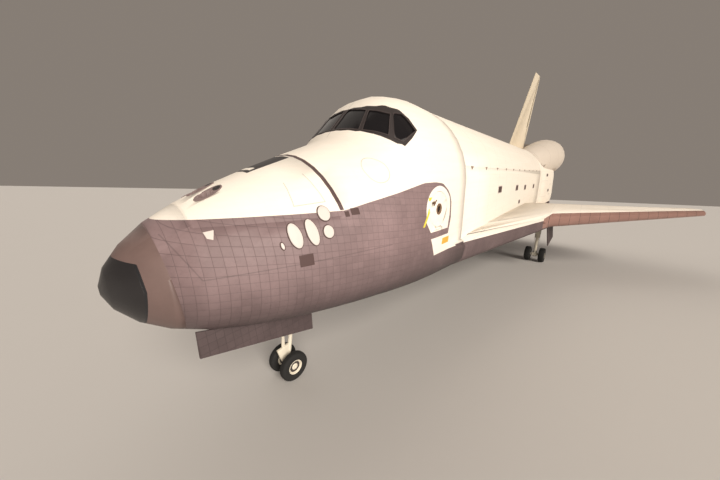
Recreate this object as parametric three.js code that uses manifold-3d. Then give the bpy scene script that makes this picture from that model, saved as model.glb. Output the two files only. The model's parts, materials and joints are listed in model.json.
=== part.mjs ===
// Space shuttle orbiter, parked on its landing gear.
// The orbiter is drawn in its own station frame, in inches: x to port, y aft (the station number), z up.
// One group scales that frame to millimetres, pitches it nose-down on its wheels and centres it
// over the ground.
import * as THREE from "three";
import { mergeVertices } from "three/addons/utils/BufferGeometryUtils.js";
import { ConvexGeometry } from "three/addons/geometries/ConvexGeometry.js";
import Module from "manifold-3d";

const wasm = await Module();
wasm.setup();

// Driving dimensions, in inches unless a name says otherwise
const INCH = 25.4; // mm
const PITCH = THREE.MathUtils.degToRad(3.5); // nose-down attitude on the gear
const SEAT = 0.012; // 0.3 mm between pieces that touch
const RUN = 0.4; // 10 mm where panels meet or pass each other
const CABIN_END = 582; // forward fuselage ends, payload bay begins
const BAY_END = 1307;
const BASE = 1520; // aft end of the fuselage at the belly
const SILL = 418.5; // lower edge of the payload bay doors
const BAY_CENTRE = 400;
const BAY_RADIUS = 91;
const DOOR_THICK = 4;
const NOSE_AXLE = { y: 362, z: 206 };
const NOSE_TYRE = { radius: 16, width: 8.8, track: 22 };
const MAIN_AXLE = { x: 136, y: 1172 };
const MAIN_TYRE = { radius: 22.25, width: 16, track: 37 };
MAIN_AXLE.z = NOSE_AXLE.z - (MAIN_AXLE.y - NOSE_AXLE.y) * Math.tan(PITCH)
  + (MAIN_TYRE.radius - NOSE_TYRE.radius) / Math.cos(PITCH);
const RING_POINTS = 40;
const TYRE_SIDES = 32;

// Fuselage sections: station, half width, z of top, z of greatest width, z of bottom,
// roundness above and below
const FUSELAGE = [
  [236, 3, 342, 339, 336, 2.0, 2.0],
  [240, 14, 353, 339, 325, 2.0, 2.0],
  [250, 27, 366, 338, 312, 2.0, 2.0],
  [265, 39, 379, 337, 301, 2.0, 2.1],
  [285, 50, 391, 336, 292, 2.0, 2.2],
  [310, 60, 403, 335, 285, 2.05, 2.3],
  [340, 71, 415, 334, 280, 2.1, 2.5],
  [378, 81, 429, 334, 276, 2.1, 2.7],
  [410, 88, 440, 336, 274, 2.15, 3.0],
  [433, 93, 449, 339, 273, 2.2, 3.2],
  [445, 95.5, 462, 342, 272.5, 2.2, 3.4],
  [460, 98, 477, 345, 272, 2.2, 3.6],
  [480, 101, 494, 352, 271, 2.2, 3.9],
  [500, 103, 502, 360, 270, 2.15, 4.2],
  [530, 104, 506, 372, 269, 2.1, 4.8],
  [560, 104, 505, 385, 268, 2.05, 5.4],
  [582, 104, 503, 395, 267.5, 2.0, 6.0],
  [700, 104, 502, 400, 267, 2.0, 7.0],
  [1200, 104, 502, 400, 267, 2.0, 7.0],
  [1307, 104, 502, 400, 269, 2.0, 7.0],
  [1380, 116, 502, 396, 275, 2.2, 7.0],
  [1440, 124, 502, 390, 280, 2.4, 7.0],
  [1540, 129, 502, 385, 288, 2.5, 7.0],
];

// Wing and glove sections: span, leading edge, its z, thickest station, z there above and below,
// hinge z above and below, trailing edge, its z
const WING = [
  [90, 440, 319, 1060, 331, 268, 304, 274, 1509, 288],
  [172, 1008, 292, 1180, 322.6, 268.8, 304.92, 279.371, 1494.8, 290.5],
  [468, 1304, 303, 1350, 311, 296, 308, 299, 1442, 305],
];
const BLUNT = 2.6; // roundness of the wing's nose
const HINGE = 1387; // elevon hinge station
const ELEVON_ENDS = { inner: [131.5, 312], outer: [315, 460.5] };
const PIN = 2; // radius of hinge pins
const PIN_PLAY = 0.035;

// Fin sections: z, leading edge, hinge station, half thickness there, trailing edge
const FIN = [
  [495, 1273, 1440, 14.2, 1544],
  [815.7, 1593.6, 1660, 5.8, 1702],
];
const RUDDER = { low: 588, high: 796, shaft: 2.6, foot: 12, head: 6 };
const TUBE = 0.74; // torque tube of the rudder, against the same half thickness
const COVE = 1.25; // hollow of the fin around the rudder hinge, against the fin's half thickness there

// Shape helpers
const V = (x, y, z) => new THREE.Vector3(x, y, z);

function toSolid(geometry) {
  const bare = geometry.index ? geometry.toNonIndexed() : geometry.clone();
  const corners = new THREE.BufferGeometry().setAttribute("position", bare.getAttribute("position"));
  const g = mergeVertices(corners, 1e-4);
  const make = (tri) => new wasm.Manifold(new wasm.Mesh({
    numProp: 3, vertProperties: new Float32Array(g.attributes.position.array), triVerts: tri,
  }));
  const tri = new Uint32Array(g.index.array);
  const made = make(tri);
  if (made.volume() > 0) return made;
  for (let i = 0; i < tri.length; i += 3) [tri[i + 1], tri[i + 2]] = [tri[i + 2], tri[i + 1]];
  return make(tri);
}

function toGeometry(solid) {
  const m = solid.getMesh();
  const g = new THREE.BufferGeometry();
  const p = new Float32Array(m.numVert * 3);
  for (let i = 0; i < m.numVert; i++) {
    p.set(m.vertProperties.subarray(i * m.numProp, i * m.numProp + 3), i * 3);
  }
  g.setAttribute("position", new THREE.BufferAttribute(p, 3));
  g.setIndex(new THREE.BufferAttribute(m.triVerts, 1));
  const flat = g.toNonIndexed();
  flat.computeVertexNormals();
  return flat;
}

// Closed solid through rings of equal point count; diagonals mirror from port to starboard
function loft(rings) {
  const n = rings[0].length;
  const points = rings.flat().map((p) => p.clone());
  const index = [];
  for (let r = 0; r < rings.length - 1; r++) {
    for (let i = 0; i < n; i++) {
      const a = r * n + i;
      const b = r * n + ((i + 1) % n);
      if (points[a].x + points[b].x < 0) index.push(a, b, a + n, b, b + n, a + n);
      else index.push(a, b, b + n, a, b + n, a + n);
    }
  }
  for (const [ring, flip] of [[0, true], [rings.length - 1, false]]) {
    const centre = rings[ring].reduce((s, p) => s.add(p), V(0, 0, 0)).divideScalar(n);
    const c = points.push(centre) - 1;
    for (let i = 0; i < n; i++) {
      const a = ring * n + i;
      const b = ring * n + ((i + 1) % n);
      index.push(...(flip ? [c, b, a] : [c, a, b]));
    }
  }
  return toSolid(new THREE.BufferGeometry().setFromPoints(points).setIndex(index));
}

const box = (x0, x1, y0, y1, z0, z1) => toSolid(
  new THREE.BoxGeometry(x1 - x0, y1 - y0, z1 - z0).translate((x0 + x1) / 2, (y0 + y1) / 2, (z0 + z1) / 2));
const hull = (points) => toSolid(new ConvexGeometry(points));

// Round bar or cone from a to b
function bar(a, b, ra, rb = ra, sides = 12) {
  const d = b.clone().sub(a);
  const g = new THREE.CylinderGeometry(rb, ra, d.length(), sides);
  g.applyQuaternion(new THREE.Quaternion().setFromUnitVectors(V(0, 1, 0), d.clone().normalize()));
  return toSolid(g.translate(...a.clone().add(b).multiplyScalar(0.5).toArray()));
}

// Body of revolution about the x axis through c; profile points are [offset along x, radius]
function wheelLathe(profile, c, sides) {
  const g = new THREE.LatheGeometry(profile.map(([h, r]) => new THREE.Vector2(r, h)), sides);
  g.rotateZ(-Math.PI / 2).rotateX(Math.PI / 2 - PITCH);
  return toSolid(g.translate(c.x, c.y, c.z));
}

const mirror = (solid) => solid.mirror([1, 0, 0]);
const join = (list) => list.reduce((a, b) => a.add(b));
const largest = (solid) => solid.decompose().sort((a, b) => b.volume() - a.volume())[0];
const lerp = THREE.MathUtils.lerp;

// Row of a section table at any station, by straight lines between rows
function rowAt(table, at) {
  let k = table.findIndex((r) => r[0] >= at);
  if (k === 0) return table[0];
  if (k < 0) return table[table.length - 1];
  const [a, b] = [table[k - 1], table[k]];
  const t = (at - a[0]) / (b[0] - a[0]);
  return a.map((v, i) => lerp(v, b[i], t));
}

// One fuselage ring, drawn in by inset
function fuselageRing(station, inset) {
  const [, w, top, mid, bottom, up, down] = rowAt(FUSELAGE, station);
  const ring = [];
  for (let i = 0; i < RING_POINTS; i++) {
    const a = ((i + 0.5) / RING_POINTS) * Math.PI * 2;
    const [c, s] = [Math.cos(a), Math.sin(a)];
    const e = 2 / (s > 0 ? up : down);
    const h = s > 0 ? top - inset - mid : mid - bottom - inset;
    ring.push(V(
      Math.sign(c) * Math.abs(c) ** e * (w - inset),
      station,
      mid + Math.sign(s) * Math.abs(s) ** e * h,
    ));
  }
  return ring;
}

function fuselage(from, to, inset = 0) {
  const stations = [from, ...FUSELAGE.map((r) => r[0]).filter((s) => s > from + 0.5 && s < to - 0.5), to];
  return loft(stations.map((s) => fuselageRing(s, inset)));
}

// One wing section at a table row: elliptic nose, then straight runs to the hinge and the trailing edge
function wingRing([span, nose, noseZ, thick, above, below, hingeUp, hingeLow, tail, tailZ]) {
  const ring = [];
  const steps = [1, 0.8, 0.55, 0.32, 0.14, 0.04];
  const round = (s) => (1 - (1 - s) ** BLUNT) ** (1 / BLUNT);
  const nosePoint = (s, side) => V(span, lerp(nose, thick, s), lerp(noseZ, side, round(s)));
  ring.push(V(span, tail, tailZ + 0.5), V(span, HINGE, hingeUp));
  for (const s of steps) ring.push(nosePoint(s, above));
  ring.push(V(span, nose, noseZ));
  for (const s of [...steps].reverse()) ring.push(nosePoint(s, below));
  ring.push(V(span, HINGE, hingeLow), V(span, tail, tailZ - 0.5));
  return ring;
}

const wingLoft = loft(WING.map(wingRing));
const hingeRow = (span) => {
  const r = rowAt(WING, span);
  return { z: (r[6] + r[7]) / 2, half: (r[6] - r[7]) / 2 };
};

// Round front of an elevon about its hinge, from one span to another
function elevonRound(from, to, share, extra = 0) {
  const [a, b] = [hingeRow(from), hingeRow(to)];
  return bar(V(from, HINGE, a.z), V(to, HINGE, b.z), a.half * share + extra, b.half * share + extra, 20);
}

// Everything behind or ahead of the hinge by a share of the wing's half thickness there
function hingeSlab(from, to, share, ahead) {
  const [a, b] = [hingeRow(from), hingeRow(to)];
  const far = ahead ? -1000 : 400;
  const corners = [];
  for (const z of [200, 400]) {
    corners.push(V(from, HINGE + share * a.half, z), V(to, HINGE + share * b.half, z));
    corners.push(V(from, HINGE + far, z), V(to, HINGE + far, z));
  }
  return hull(corners);
}

// Parts list: name, solid, colour, roughness, metalness
const pieces = [];
function add(name, solid, [colour, roughness, metalness]) {
  pieces.push({ name, solid, colour, roughness, metalness });
}
const WHITE = [0xe9e6de, 0.6, 0];
const BLACK = [0x3a3435, 0.7, 0];
const GREY = [0x8d8782, 0.5, 0];
const DARK = [0x1b1b1c, 0.8, 0];
const METAL = [0xb9b2a4, 0.35, 0.8];
const GLASS = [0x15171a, 0.1, 0];
const RUBBER = [0x1c1b1a, 0.9, 0];

const outer = fuselage(236, BASE);
const outerGrown = fuselage(236, 1540, -SEAT);

// Forward fuselage: nose cap, upper thruster module, cabin shell with its windows and hatch
const CAP_CUT = [[259, 420], [276, 260]]; // station and z of the cap's sloping rim
function capSide(shift) {
  const c = [];
  for (const x of [-60, 60]) {
    c.push(V(x, 200, 440), V(x, 200, 240));
    for (const [y, z] of CAP_CUT) c.push(V(x, y + shift, z));
  }
  return hull(c);
}
add("nose_cap", outer.intersect(capSide(0)), GREY);

// Upper thruster module: from behind the nose to the band ahead of the cabin
const MODULE = { from: 283, toLow: 384, toHigh: 371, low: 376 };
const moduleBox = (g) => hull([-90, 90].flatMap((x) => [
  V(x, MODULE.from - g, MODULE.low - g), V(x, MODULE.from - g, 460),
  V(x, MODULE.toLow + g, MODULE.low - g), V(x, MODULE.toHigh + g, 460)]));
const thrusterWells = [-15.5, 0, 15.5].map((x) => bar(V(x, 309, 388), V(x, 283, 412), 4.6, 4.6, 16));
const moduleSolid = outer.intersect(moduleBox(0));
add("thruster_module", thrusterWells.reduce((a, b) => a.subtract(b), moduleSolid), WHITE);

// Window panes on the port side: corner points as [port, station, z] on the skin
const PANES = {
  front: [[2.5, 442, 458], [37, 445.5, 454.5], [30, 466, 477.5], [2.5, 466, 482]],
  middle: [[41, 447, 454], [64, 460, 447], [55, 475, 471], [33, 467, 477]],
  side: [[69, 463, 446], [76, 469, 442], [78, 490, 454], [62, 487, 472], [58, 477, 472]],
};
function panePrism(name, grow, reach) {
  const corners = PANES[name].map(([x, y, z]) => V(x, y, z));
  const centre = corners.reduce((s, p) => s.add(p), V(0, 0, 0)).divideScalar(corners.length);
  const normal = corners[2].clone().sub(corners[0]).cross(corners[3].clone().sub(corners[1])).normalize();
  const points = [];
  for (const c of corners) {
    const wide = c.clone().add(c.clone().sub(centre).normalize().multiplyScalar(grow));
    points.push(wide.clone().addScaledVector(normal, reach), wide.clone().addScaledVector(normal, -reach));
  }
  return hull(points);
}

const CABIN = { wall: 5, front: 434, floor: 398, ceiling: 392, lowFront: 468, lowFloor: 318 };
const inside = fuselage(300, CABIN_END - 6, CABIN.wall);
const flightCabin = inside.intersect(box(-120, 120, CABIN.front, CABIN_END, CABIN.floor, 520));
const midDeck = inside.intersect(box(-120, 120, CABIN.lowFront, CABIN_END, CABIN.lowFloor, CABIN.ceiling));

// Side hatch: round port on the port side that drops open about its lower edge
const HATCH = { y: 506, z: 371, radius: 20, depth: 9, taper: 0.24 };
const hatchBar = (g) => bar(V(64, HATCH.y, HATCH.z), V(104, HATCH.y, HATCH.z),
  HATCH.radius + g - 40 * HATCH.taper, HATCH.radius + g, 32);

// Nose wheel well
const NOSE_WELL = { half: 25, from: 280, to: 392, top: 326 };
const noseWell = box(-NOSE_WELL.half, NOSE_WELL.half, NOSE_WELL.from, NOSE_WELL.to, 200, NOSE_WELL.top);

// The hatch hangs on a barrel outside the skin, between two lugs of the cabin wall
const HATCH_HINGE = { x: 103.9, z: HATCH.z - HATCH.radius - 1.4, half: 7, radius: 1.1, pin: 0.55 };
function hatchRod(reach, radius) {
  const at = (y) => V(HATCH_HINGE.x, y, HATCH_HINGE.z);
  return bar(at(HATCH.y - reach), at(HATCH.y + reach), radius, radius, 12);
}
function hatchLug(side) {
  const { x, z, half } = HATCH_HINGE;
  return hull([half + 0.3, half + 2].flatMap((reach) => {
    const y = HATCH.y + side * reach;
    return [V(101, y, z - 2), V(101, y, z + 0.6), V(x + 1, y, z + 0.6), V(x + 1, y, z - 0.7)];
  }));
}

// The front of the wing's glove belongs to the forward fuselage
const strakeBox = box(-300, 300, 470, CABIN_END, 200, 400);
const strakes = [wingLoft, mirror(wingLoft)].map((glove) => glove.intersect(strakeBox));
let cabin = join([fuselage(236, CABIN_END), ...strakes]);
cabin = cabin.subtract(capSide(SEAT)).subtract(moduleBox(SEAT)).subtract(flightCabin).subtract(midDeck);
for (const name of Object.keys(PANES)) {
  const prism = panePrism(name, 0, 22);
  cabin = cabin.subtract(prism).subtract(mirror(prism));
}
const hatchSlot = box(101.5, 120, HATCH.y - HATCH_HINGE.half - 0.3, HATCH.y + HATCH_HINGE.half + 0.3,
  HATCH_HINGE.z - 1.5, HATCH.z - HATCH.radius + 2);
cabin = cabin.add(hatchLug(1)).add(hatchLug(-1)).subtract(hatchBar(RUN))
  .subtract(hatchSlot).subtract(noseWell)
  .subtract(hatchRod(HATCH_HINGE.half + 1.6, HATCH_HINGE.pin + PIN_PLAY));
add("forward_fuselage", cabin, WHITE);

const glassBand = fuselage(300, CABIN_END - 6, 1).subtract(fuselage(300, CABIN_END - 6, 2.5));
for (const name of Object.keys(PANES)) {
  const pane = largest(glassBand.intersect(panePrism(name, -SEAT * 1.5, 20)));
  add(`window_${name}_port`, pane, GLASS);
  add(`window_${name}_starboard`, mirror(pane), GLASS);
}

const hatchSkin = fuselage(300, CABIN_END, 0.2);
const hatch = hatchBar(0).intersect(hatchSkin).intersect(box(70, 120, 400, 580, 300, 420))
  .subtract(bar(V(60, HATCH.y, HATCH.z), V(125, HATCH.y, HATCH.z), 5, 5, 16))
  .subtract(fuselage(300, CABIN_END, HATCH.depth - 2))
  .add(box(101.9, 103.6, HATCH.y - 6, HATCH.y + 6, HATCH_HINGE.z, HATCH.z - HATCH.radius + 1))
  .add(hatchRod(HATCH_HINGE.half, HATCH_HINGE.radius))
  .add(hatchRod(HATCH_HINGE.half + 1.4, HATCH_HINGE.pin));
add("side_hatch", hatch, WHITE);

// Flight deck: floor, instrument panel and two seats as one welded unit
function flightDeck() {
  const f = CABIN.floor + SEAT;
  const floor = box(-62, 62, 446, 560, f, f + 1.5);
  const instruments = box(-52, 52, 446, 452, f, 438);
  const console = box(-8, 8, 446, 486, f, 424);
  const parts = [floor, instruments, console];
  for (const x of [-30, 30]) {
    parts.push(box(x - 10, x + 10, 494, 514, f, 416), box(x - 10, x + 10, 510, 516, f, 446));
  }
  return join(parts);
}
add("flight_deck", flightDeck(), DARK);

// Mid fuselage: the lower body around the payload bay, open at the top
const bayCylinder = (r) => bar(V(0, CABIN_END + 8, BAY_CENTRE), V(0, BAY_END - 8, BAY_CENTRE), r, r, 40);
const bayTop = box(-BAY_RADIUS, BAY_RADIUS, CABIN_END + 8, BAY_END - 8, BAY_CENTRE, 600);
const mid = fuselage(CABIN_END + SEAT, BAY_END - SEAT)
  .intersect(box(-200, 200, 0, 2000, 200, SILL))
  .subtract(bayCylinder(BAY_RADIUS)).subtract(bayTop);
add("mid_fuselage", mid, WHITE);

// Payload bay doors, one each side, hinged at the sill
const doorShell = fuselage(CABIN_END + RUN, BAY_END - RUN)
  .subtract(fuselage(CABIN_END - 4, BAY_END + 4, DOOR_THICK));
const doorPort = doorShell.intersect(box(RUN / 2, 200, 0, 2000, SILL + SEAT, 600));
add("bay_door_port", doorPort, WHITE);
add("bay_door_starboard", mirror(doorPort), WHITE);

// Bulkheads close the bay above the sill at both ends
const bulkhead = (from, to) => fuselage(from, to, DOOR_THICK + RUN)
  .intersect(box(-200, 200, 0, 2000, SILL + SEAT, 600));
add("bay_bulkhead_front", bulkhead(CABIN_END + SEAT, CABIN_END + 7), GREY);
add("bay_bulkhead_aft", bulkhead(BAY_END - 7, BAY_END - SEAT), GREY);

// Aft fuselage: hollow engine bay with a sloping open base
const baseSlope = (shift) => hull([-200, 200].flatMap((x) => [
  V(x, BASE + 2 + shift, 260), V(x, BASE - 58 + shift, 520), V(x, 1900, 260), V(x, 1900, 520)]));
const finRoot = loft(FIN.map(finRing));
const FLAP = { y: 1529, z: 288, radius: 10, half: 119, chord: 84, pin: 3, reach: 122.5 };
const flapRod = (reach, radius, sides) => bar(
  V(-reach, FLAP.y, FLAP.z), V(reach, FLAP.y, FLAP.z), radius, radius, sides);
const flapLug = (side) => hull([FLAP.half + RUN, FLAP.half + 5].map((x) => side * x).flatMap((x) => [
  V(x, 1490, 290), V(x, 1490, 325), V(x, FLAP.y + 2, 282), V(x, FLAP.y + 6, 286),
  V(x, FLAP.y + 6, 290), V(x, FLAP.y + 2, 294)]));
const aftShell = fuselage(BAY_END + SEAT, 1540).subtract(fuselage(BAY_END + 6, 1545, 6))
  .subtract(baseSlope(0)).add(flapLug(1)).add(flapLug(-1))
  .subtract(flapRod(FLAP.reach, FLAP.pin + PIN_PLAY, 32));
add("aft_fuselage", aftShell, WHITE);
const baseShield = fuselage(1400, 1540, 6 + SEAT).subtract(baseSlope(-2)).intersect(baseSlope(-8));

// Main engines: thrust dome on the base and an open bell for each
const ENGINES = [
  ["engine_top", 0, 1445, 443, 0, 16],
  ["engine_port", 53, 1468, 342.6, 3.5, 10],
  ["engine_starboard", -53, 1468, 342.6, -3.5, 10],
];
const BELL = [[62, 14], [66, 20], [76, 28], [95, 36], [120, 42.5], [145, 46], [168, 47.5]];
function bellSolid(profile, wall) {
  const out = profile.map(([h, r]) => new THREE.Vector2(r, h));
  const inn = profile.slice(1).reverse().map(([h, r]) => new THREE.Vector2(r - wall, h));
  const close = [new THREE.Vector2(0, profile[0][0]), ...out, ...inn, new THREE.Vector2(0, profile[1][0])];
  return new THREE.LatheGeometry(close, 32);
}
function placeNozzle(geometry, x, y, z, yaw, pitch) {
  geometry.rotateX(THREE.MathUtils.degToRad(pitch)).rotateZ(-THREE.MathUtils.degToRad(yaw));
  return toSolid(geometry.translate(x, y, z));
}
const topEngineRoom = placeNozzle(
  new THREE.CylinderGeometry(51, 39, 110, 24).translate(0, 117, 0), ...ENGINES[0].slice(1));
let shield = baseShield;
for (const [name, x, y, z, yaw, pitch] of ENGINES) {
  const dome = new THREE.CylinderGeometry(24, 42, 37 - SEAT, 24).translate(0, 43.5 - SEAT / 2, 0);
  shield = shield.add(placeNozzle(dome, x, y, z, yaw, pitch));
  add(name, placeNozzle(bellSolid(BELL, 1.6), x, y, z, yaw, pitch), METAL);
}
shield = shield.subtract(aftShell);

// Orbital manoeuvring pods on the shoulders: station, reach out from the bay's centre line, radius
const POD = [
  [1309, 54, 50], [1330, 66, 52], [1360, 78, 56], [1400, 89, 60],
  [1440, 98, 64], [1480, 104, 67], [1520, 106, 68], [1548, 106, 67],
];
const POD_TILT = THREE.MathUtils.degToRad(42);
function podRing([y, out, radius]) {
  return Array.from({ length: 28 }, (_, i) => {
    const a = ((i + 0.5) / 28) * Math.PI * 2;
    return V(out * Math.cos(POD_TILT) + Math.cos(a) * radius, y,
      BAY_CENTRE + out * Math.sin(POD_TILT) + Math.sin(a) * radius);
  });
}
const finGrown = loft(FIN.map((r) => finRing([r[0], r[1] - RUN, r[2], r[3] + RUN, r[4] + RUN])));
const podShape = (grow) => largest(loft(POD.map(([y, out, radius]) => podRing([y, out, radius + grow])))
  .intersect(box(18 - grow, 300, 1200, 1700, 380, 700))
  .subtract(outerGrown).subtract(finGrown).subtract(topEngineRoom));
const pod = podShape(0);
const podGrown = podShape(SEAT);
add("manoeuvring_pod_port", pod, WHITE);
add("manoeuvring_pod_starboard", mirror(pod), WHITE);
const OMS_BELL = [[0, 8], [3, 10], [10, 15], [24, 20], [40, 23], [50, 24]];
const POD_END = POD[POD.length - 1][0];
const podBell = placeNozzle(bellSolid(OMS_BELL, 1.2), 90, POD_END + SEAT, 488, 6, 8);
const podNozzle = largest(podBell.subtract(box(0, 200, 1500, POD_END + SEAT, 400, 600)));
add("manoeuvring_nozzle_port", podNozzle, METAL);
add("manoeuvring_nozzle_starboard", mirror(podNozzle), METAL);
add("base_shield", largest(shield.subtract(podGrown).subtract(mirror(podGrown))), BLACK);

// Wings with their carbon leading edges and elevons
function leadingStrip(grow) {
  const inner = [163, 946];
  const set = 15 + grow;
  const c = [];
  for (const z of [200, 400]) {
    c.push(V(inner[0], inner[1] - 40, z), V(inner[0] - grow, inner[1] + 14, z));
    c.push(V(172, 1008 + set * 1.5, z), V(470, 1306 + set * 1.5, z));
    c.push(V(520, 1306, z), V(520, 880, z), V(172, 880, z));
  }
  return hull(c);
}
const wingBody = wingLoft.subtract(outerGrown).subtract(box(0, 128, 1484, 1560, 200, 400))
  .intersect(box(0, 600, CABIN_END + SEAT, 2000, 200, 400));
const MAIN_WELL = { inner: 112, outer: 163, from: 1040, to: 1190, top: 310 };
const mainWell = box(MAIN_WELL.inner, MAIN_WELL.outer, MAIN_WELL.from, MAIN_WELL.to, 200, MAIN_WELL.top);
const LIP = -0.3;
const FRONT_CUT = 0.42;
const ROUND = 0.9;
const wholeHinge = [ELEVON_ENDS.inner[0] - 1.4, ELEVON_ENDS.outer[1] + 0.9];
const spanBox = ([from, to]) => box(from, to, 1300, 1600, 200, 400);
const onWingHinge = (span) => V(span, HINGE, hingeRow(span).z);
const hingePin = (from, to, grow) => bar(onWingHinge(from), onWingHinge(to), PIN + grow, PIN + grow, 24);
let wing = wingBody.subtract(leadingStrip(SEAT)).subtract(mainWell);
wing = wing.subtract(hingeSlab(...wholeHinge, LIP, false))
  .subtract(elevonRound(...wholeHinge, ROUND, RUN).intersect(spanBox(wholeHinge)));
const bracketSpan = [ELEVON_ENDS.inner[1] + RUN, ELEVON_ENDS.outer[0] - RUN];
const bracket = hull(bracketSpan.flatMap((x) => [
  V(x, HINGE - 25, hingeRow(x).z - 4), V(x, HINGE - 25, hingeRow(x).z + 4),
  V(x, HINGE + 2, hingeRow(x).z - 4), V(x, HINGE + 4, hingeRow(x).z - 2),
  V(x, HINGE + 4, hingeRow(x).z + 2), V(x, HINGE + 2, hingeRow(x).z + 4)]));
wing = largest(wing.add(bracket).subtract(hingePin(wholeHinge[0] - 3, wholeHinge[1] + 2.5, PIN_PLAY)));
add("wing_port", wing, WHITE);
add("wing_starboard", mirror(wing), WHITE);
const edge = largest(wingBody.intersect(leadingStrip(0)));
add("leading_edge_port", edge, GREY);
add("leading_edge_starboard", mirror(edge), GREY);
const PIN_REACH = { inner: [-3.5, 1.2], outer: [-1.2, 2] };
for (const [name, [from, to]] of Object.entries(ELEVON_ENDS)) {
  const [before, after] = PIN_REACH[name];
  const elevon = wingBody.intersect(hingeSlab(from, to, FRONT_CUT, false))
    .add(elevonRound(from, to, ROUND).intersect(spanBox([from, to])))
    .add(hingePin(from + before, to + after, 0));
  add(`elevon_${name}_port`, elevon, WHITE);
  add(`elevon_${name}_starboard`, mirror(elevon), WHITE);
}

// Body flap under the engines, on pins in two lugs of the aft fuselage
const flapBlade = hull([-1, 1].flatMap((side) => [
  V(side * FLAP.half, FLAP.y, FLAP.z + FLAP.radius - 0.2),
  V(side * FLAP.half, FLAP.y, FLAP.z - FLAP.radius + 0.2),
  V(side * (FLAP.half - 4), FLAP.y + FLAP.chord, FLAP.z - 1),
  V(side * (FLAP.half - 4), FLAP.y + FLAP.chord, FLAP.z - 3)]));
const flapRound = flapRod(FLAP.half, FLAP.radius, 20);
add("body_flap", join([flapRound, flapBlade, flapRod(FLAP.reach, FLAP.pin, 32)]), BLACK);

// Fin, rudder shaft and the two halves of the split rudder
function finRing([z, nose, hinge, half, tail]) {
  const r = [V(0, nose, z), V(half * 0.12, nose + 2, z), V(half, hinge, z), V(0.4, tail, z)];
  return [...r, ...r.slice(1).reverse().map((p) => V(-p.x, p.y, p.z))];
}
const finAxis = (z) => V(0, rowAt(FIN, z)[2], z);
const finHalf = (z) => rowAt(FIN, z)[3];
const alongHinge = finAxis(800).sub(finAxis(500)).normalize();
const acrossHinge = V(0, alongHinge.z, -alongHinge.y);
const onHinge = (z, along) => finAxis(z).addScaledVector(alongHinge, along);
const finBlock = (xs, low, high) => hull(xs.flatMap((x) => [low, high].flatMap((p) => [
  p.clone().setX(x), p.clone().addScaledVector(acrossHinge, 300).setX(x)])));
const alongRudder = (below, above, radii, sides) => bar(
  onHinge(RUDDER.low, -below), onHinge(RUDDER.high, above), radii[0], radii[1], sides);
const shareOfHalf = (share, grow) => [RUDDER.low, RUDDER.high].map((z) => finHalf(z) * share + grow);
const shaftBar = (grow, ends) => alongRudder(
  RUDDER.foot + ends, RUDDER.head + ends, [RUDDER.shaft + grow, RUDDER.shaft + grow], 32);
const torqueTube = (grow, ends) => alongRudder(ends, ends, shareOfHalf(TUBE, grow), 48);
const cove = alongRudder(RUN * 2, RUN * 2, shareOfHalf(COVE, RUN), 28);
const rudderRoom = finBlock([-60, 60], onHinge(RUDDER.low, -RUN * 2), onHinge(RUDDER.high, RUN * 2));
add("fin", largest(finRoot.subtract(outerGrown).subtract(rudderRoom).subtract(cove)
  .subtract(shaftBar(PIN_PLAY, SEAT)).subtract(topEngineRoom)), WHITE);
add("rudder_shaft", shaftBar(0, 0).add(torqueTube(0, 0)), METAL);
const panelBlock = finBlock([RUN / 2, 60], onHinge(RUDDER.low, 0), onHinge(RUDDER.high, 0));
const panel = largest(finRoot.intersect(panelBlock).subtract(torqueTube(0.034, 0.01)));
add("rudder_port", panel, WHITE);
add("rudder_starboard", mirror(panel), WHITE);

// Landing gear; the sleeve round an axle and the collar of its leg go by a share of the tyre's radius
const SLEEVE = 0.16;
const axleBar = (c, reach, radius) => bar(
  V(c.x - reach, c.y, c.z), V(c.x + reach, c.y, c.z), radius, radius, 32);

function tyre(c, t, side) {
  const [R, w] = [t.radius, t.width / 2];
  const rim = R * 0.5;
  const bulge = rim + (R - rim) * 0.35;
  const half = [[0.8, rim], [1, bulge], [0.92, R * 0.88], [0.55, R * 0.985]];
  const profile = [
    ...half.map(([share, r]) => [-w * share, r]), [0, R],
    ...half.map(([share, r]) => [w * share, r]).reverse(), [-w * 0.8, rim],
  ];
  return wheelLathe(profile, V(c.x + side * t.track / 2, c.y, c.z), TYRE_SIDES);
}
function hubs(c, t) {
  const parts = [];
  const [r, w] = [t.radius * 0.5 * Math.cos(Math.PI / TYRE_SIDES) - SEAT * 1.5, t.width / 2];
  for (const s of [-1, 1]) {
    const p = [[-w * 0.75, 0], [-w * 0.75, r], [w * 0.75, r], [w * 0.75, r * 0.86], [w * 0.35, r * 0.7],
      [w * 0.35, r * 0.42], [w * 0.7, r * 0.3], [w * 0.7, 0]];
    const turned = s > 0 ? p : p.map(([h, q]) => [-h, q]).reverse();
    parts.push(wheelLathe(turned, V(c.x + s * t.track / 2, c.y, c.z), 24));
  }
  return join([...parts, axleBar(c, t.track / 2, t.radius * SLEEVE)]);
}
const noseCentre = V(0, NOSE_AXLE.y, NOSE_AXLE.z);
const mainCentre = V(MAIN_AXLE.x, MAIN_AXLE.y, MAIN_AXLE.z);
add("nose_hubs", hubs(noseCentre, NOSE_TYRE), METAL);
add("nose_tyre_port", tyre(noseCentre, NOSE_TYRE, 1), RUBBER);
add("nose_tyre_starboard", tyre(noseCentre, NOSE_TYRE, -1), RUBBER);
const mainHubs = hubs(mainCentre, MAIN_TYRE);
add("main_hubs_port", mainHubs, METAL);
add("main_hubs_starboard", mirror(mainHubs), METAL);
for (const [label, s] of [["outer", 1], ["inner", -1]]) {
  const t = tyre(mainCentre, MAIN_TYRE, s);
  add(`main_tyre_${label}_port`, t, RUBBER);
  add(`main_tyre_${label}_starboard`, mirror(t), RUBBER);
}

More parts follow.
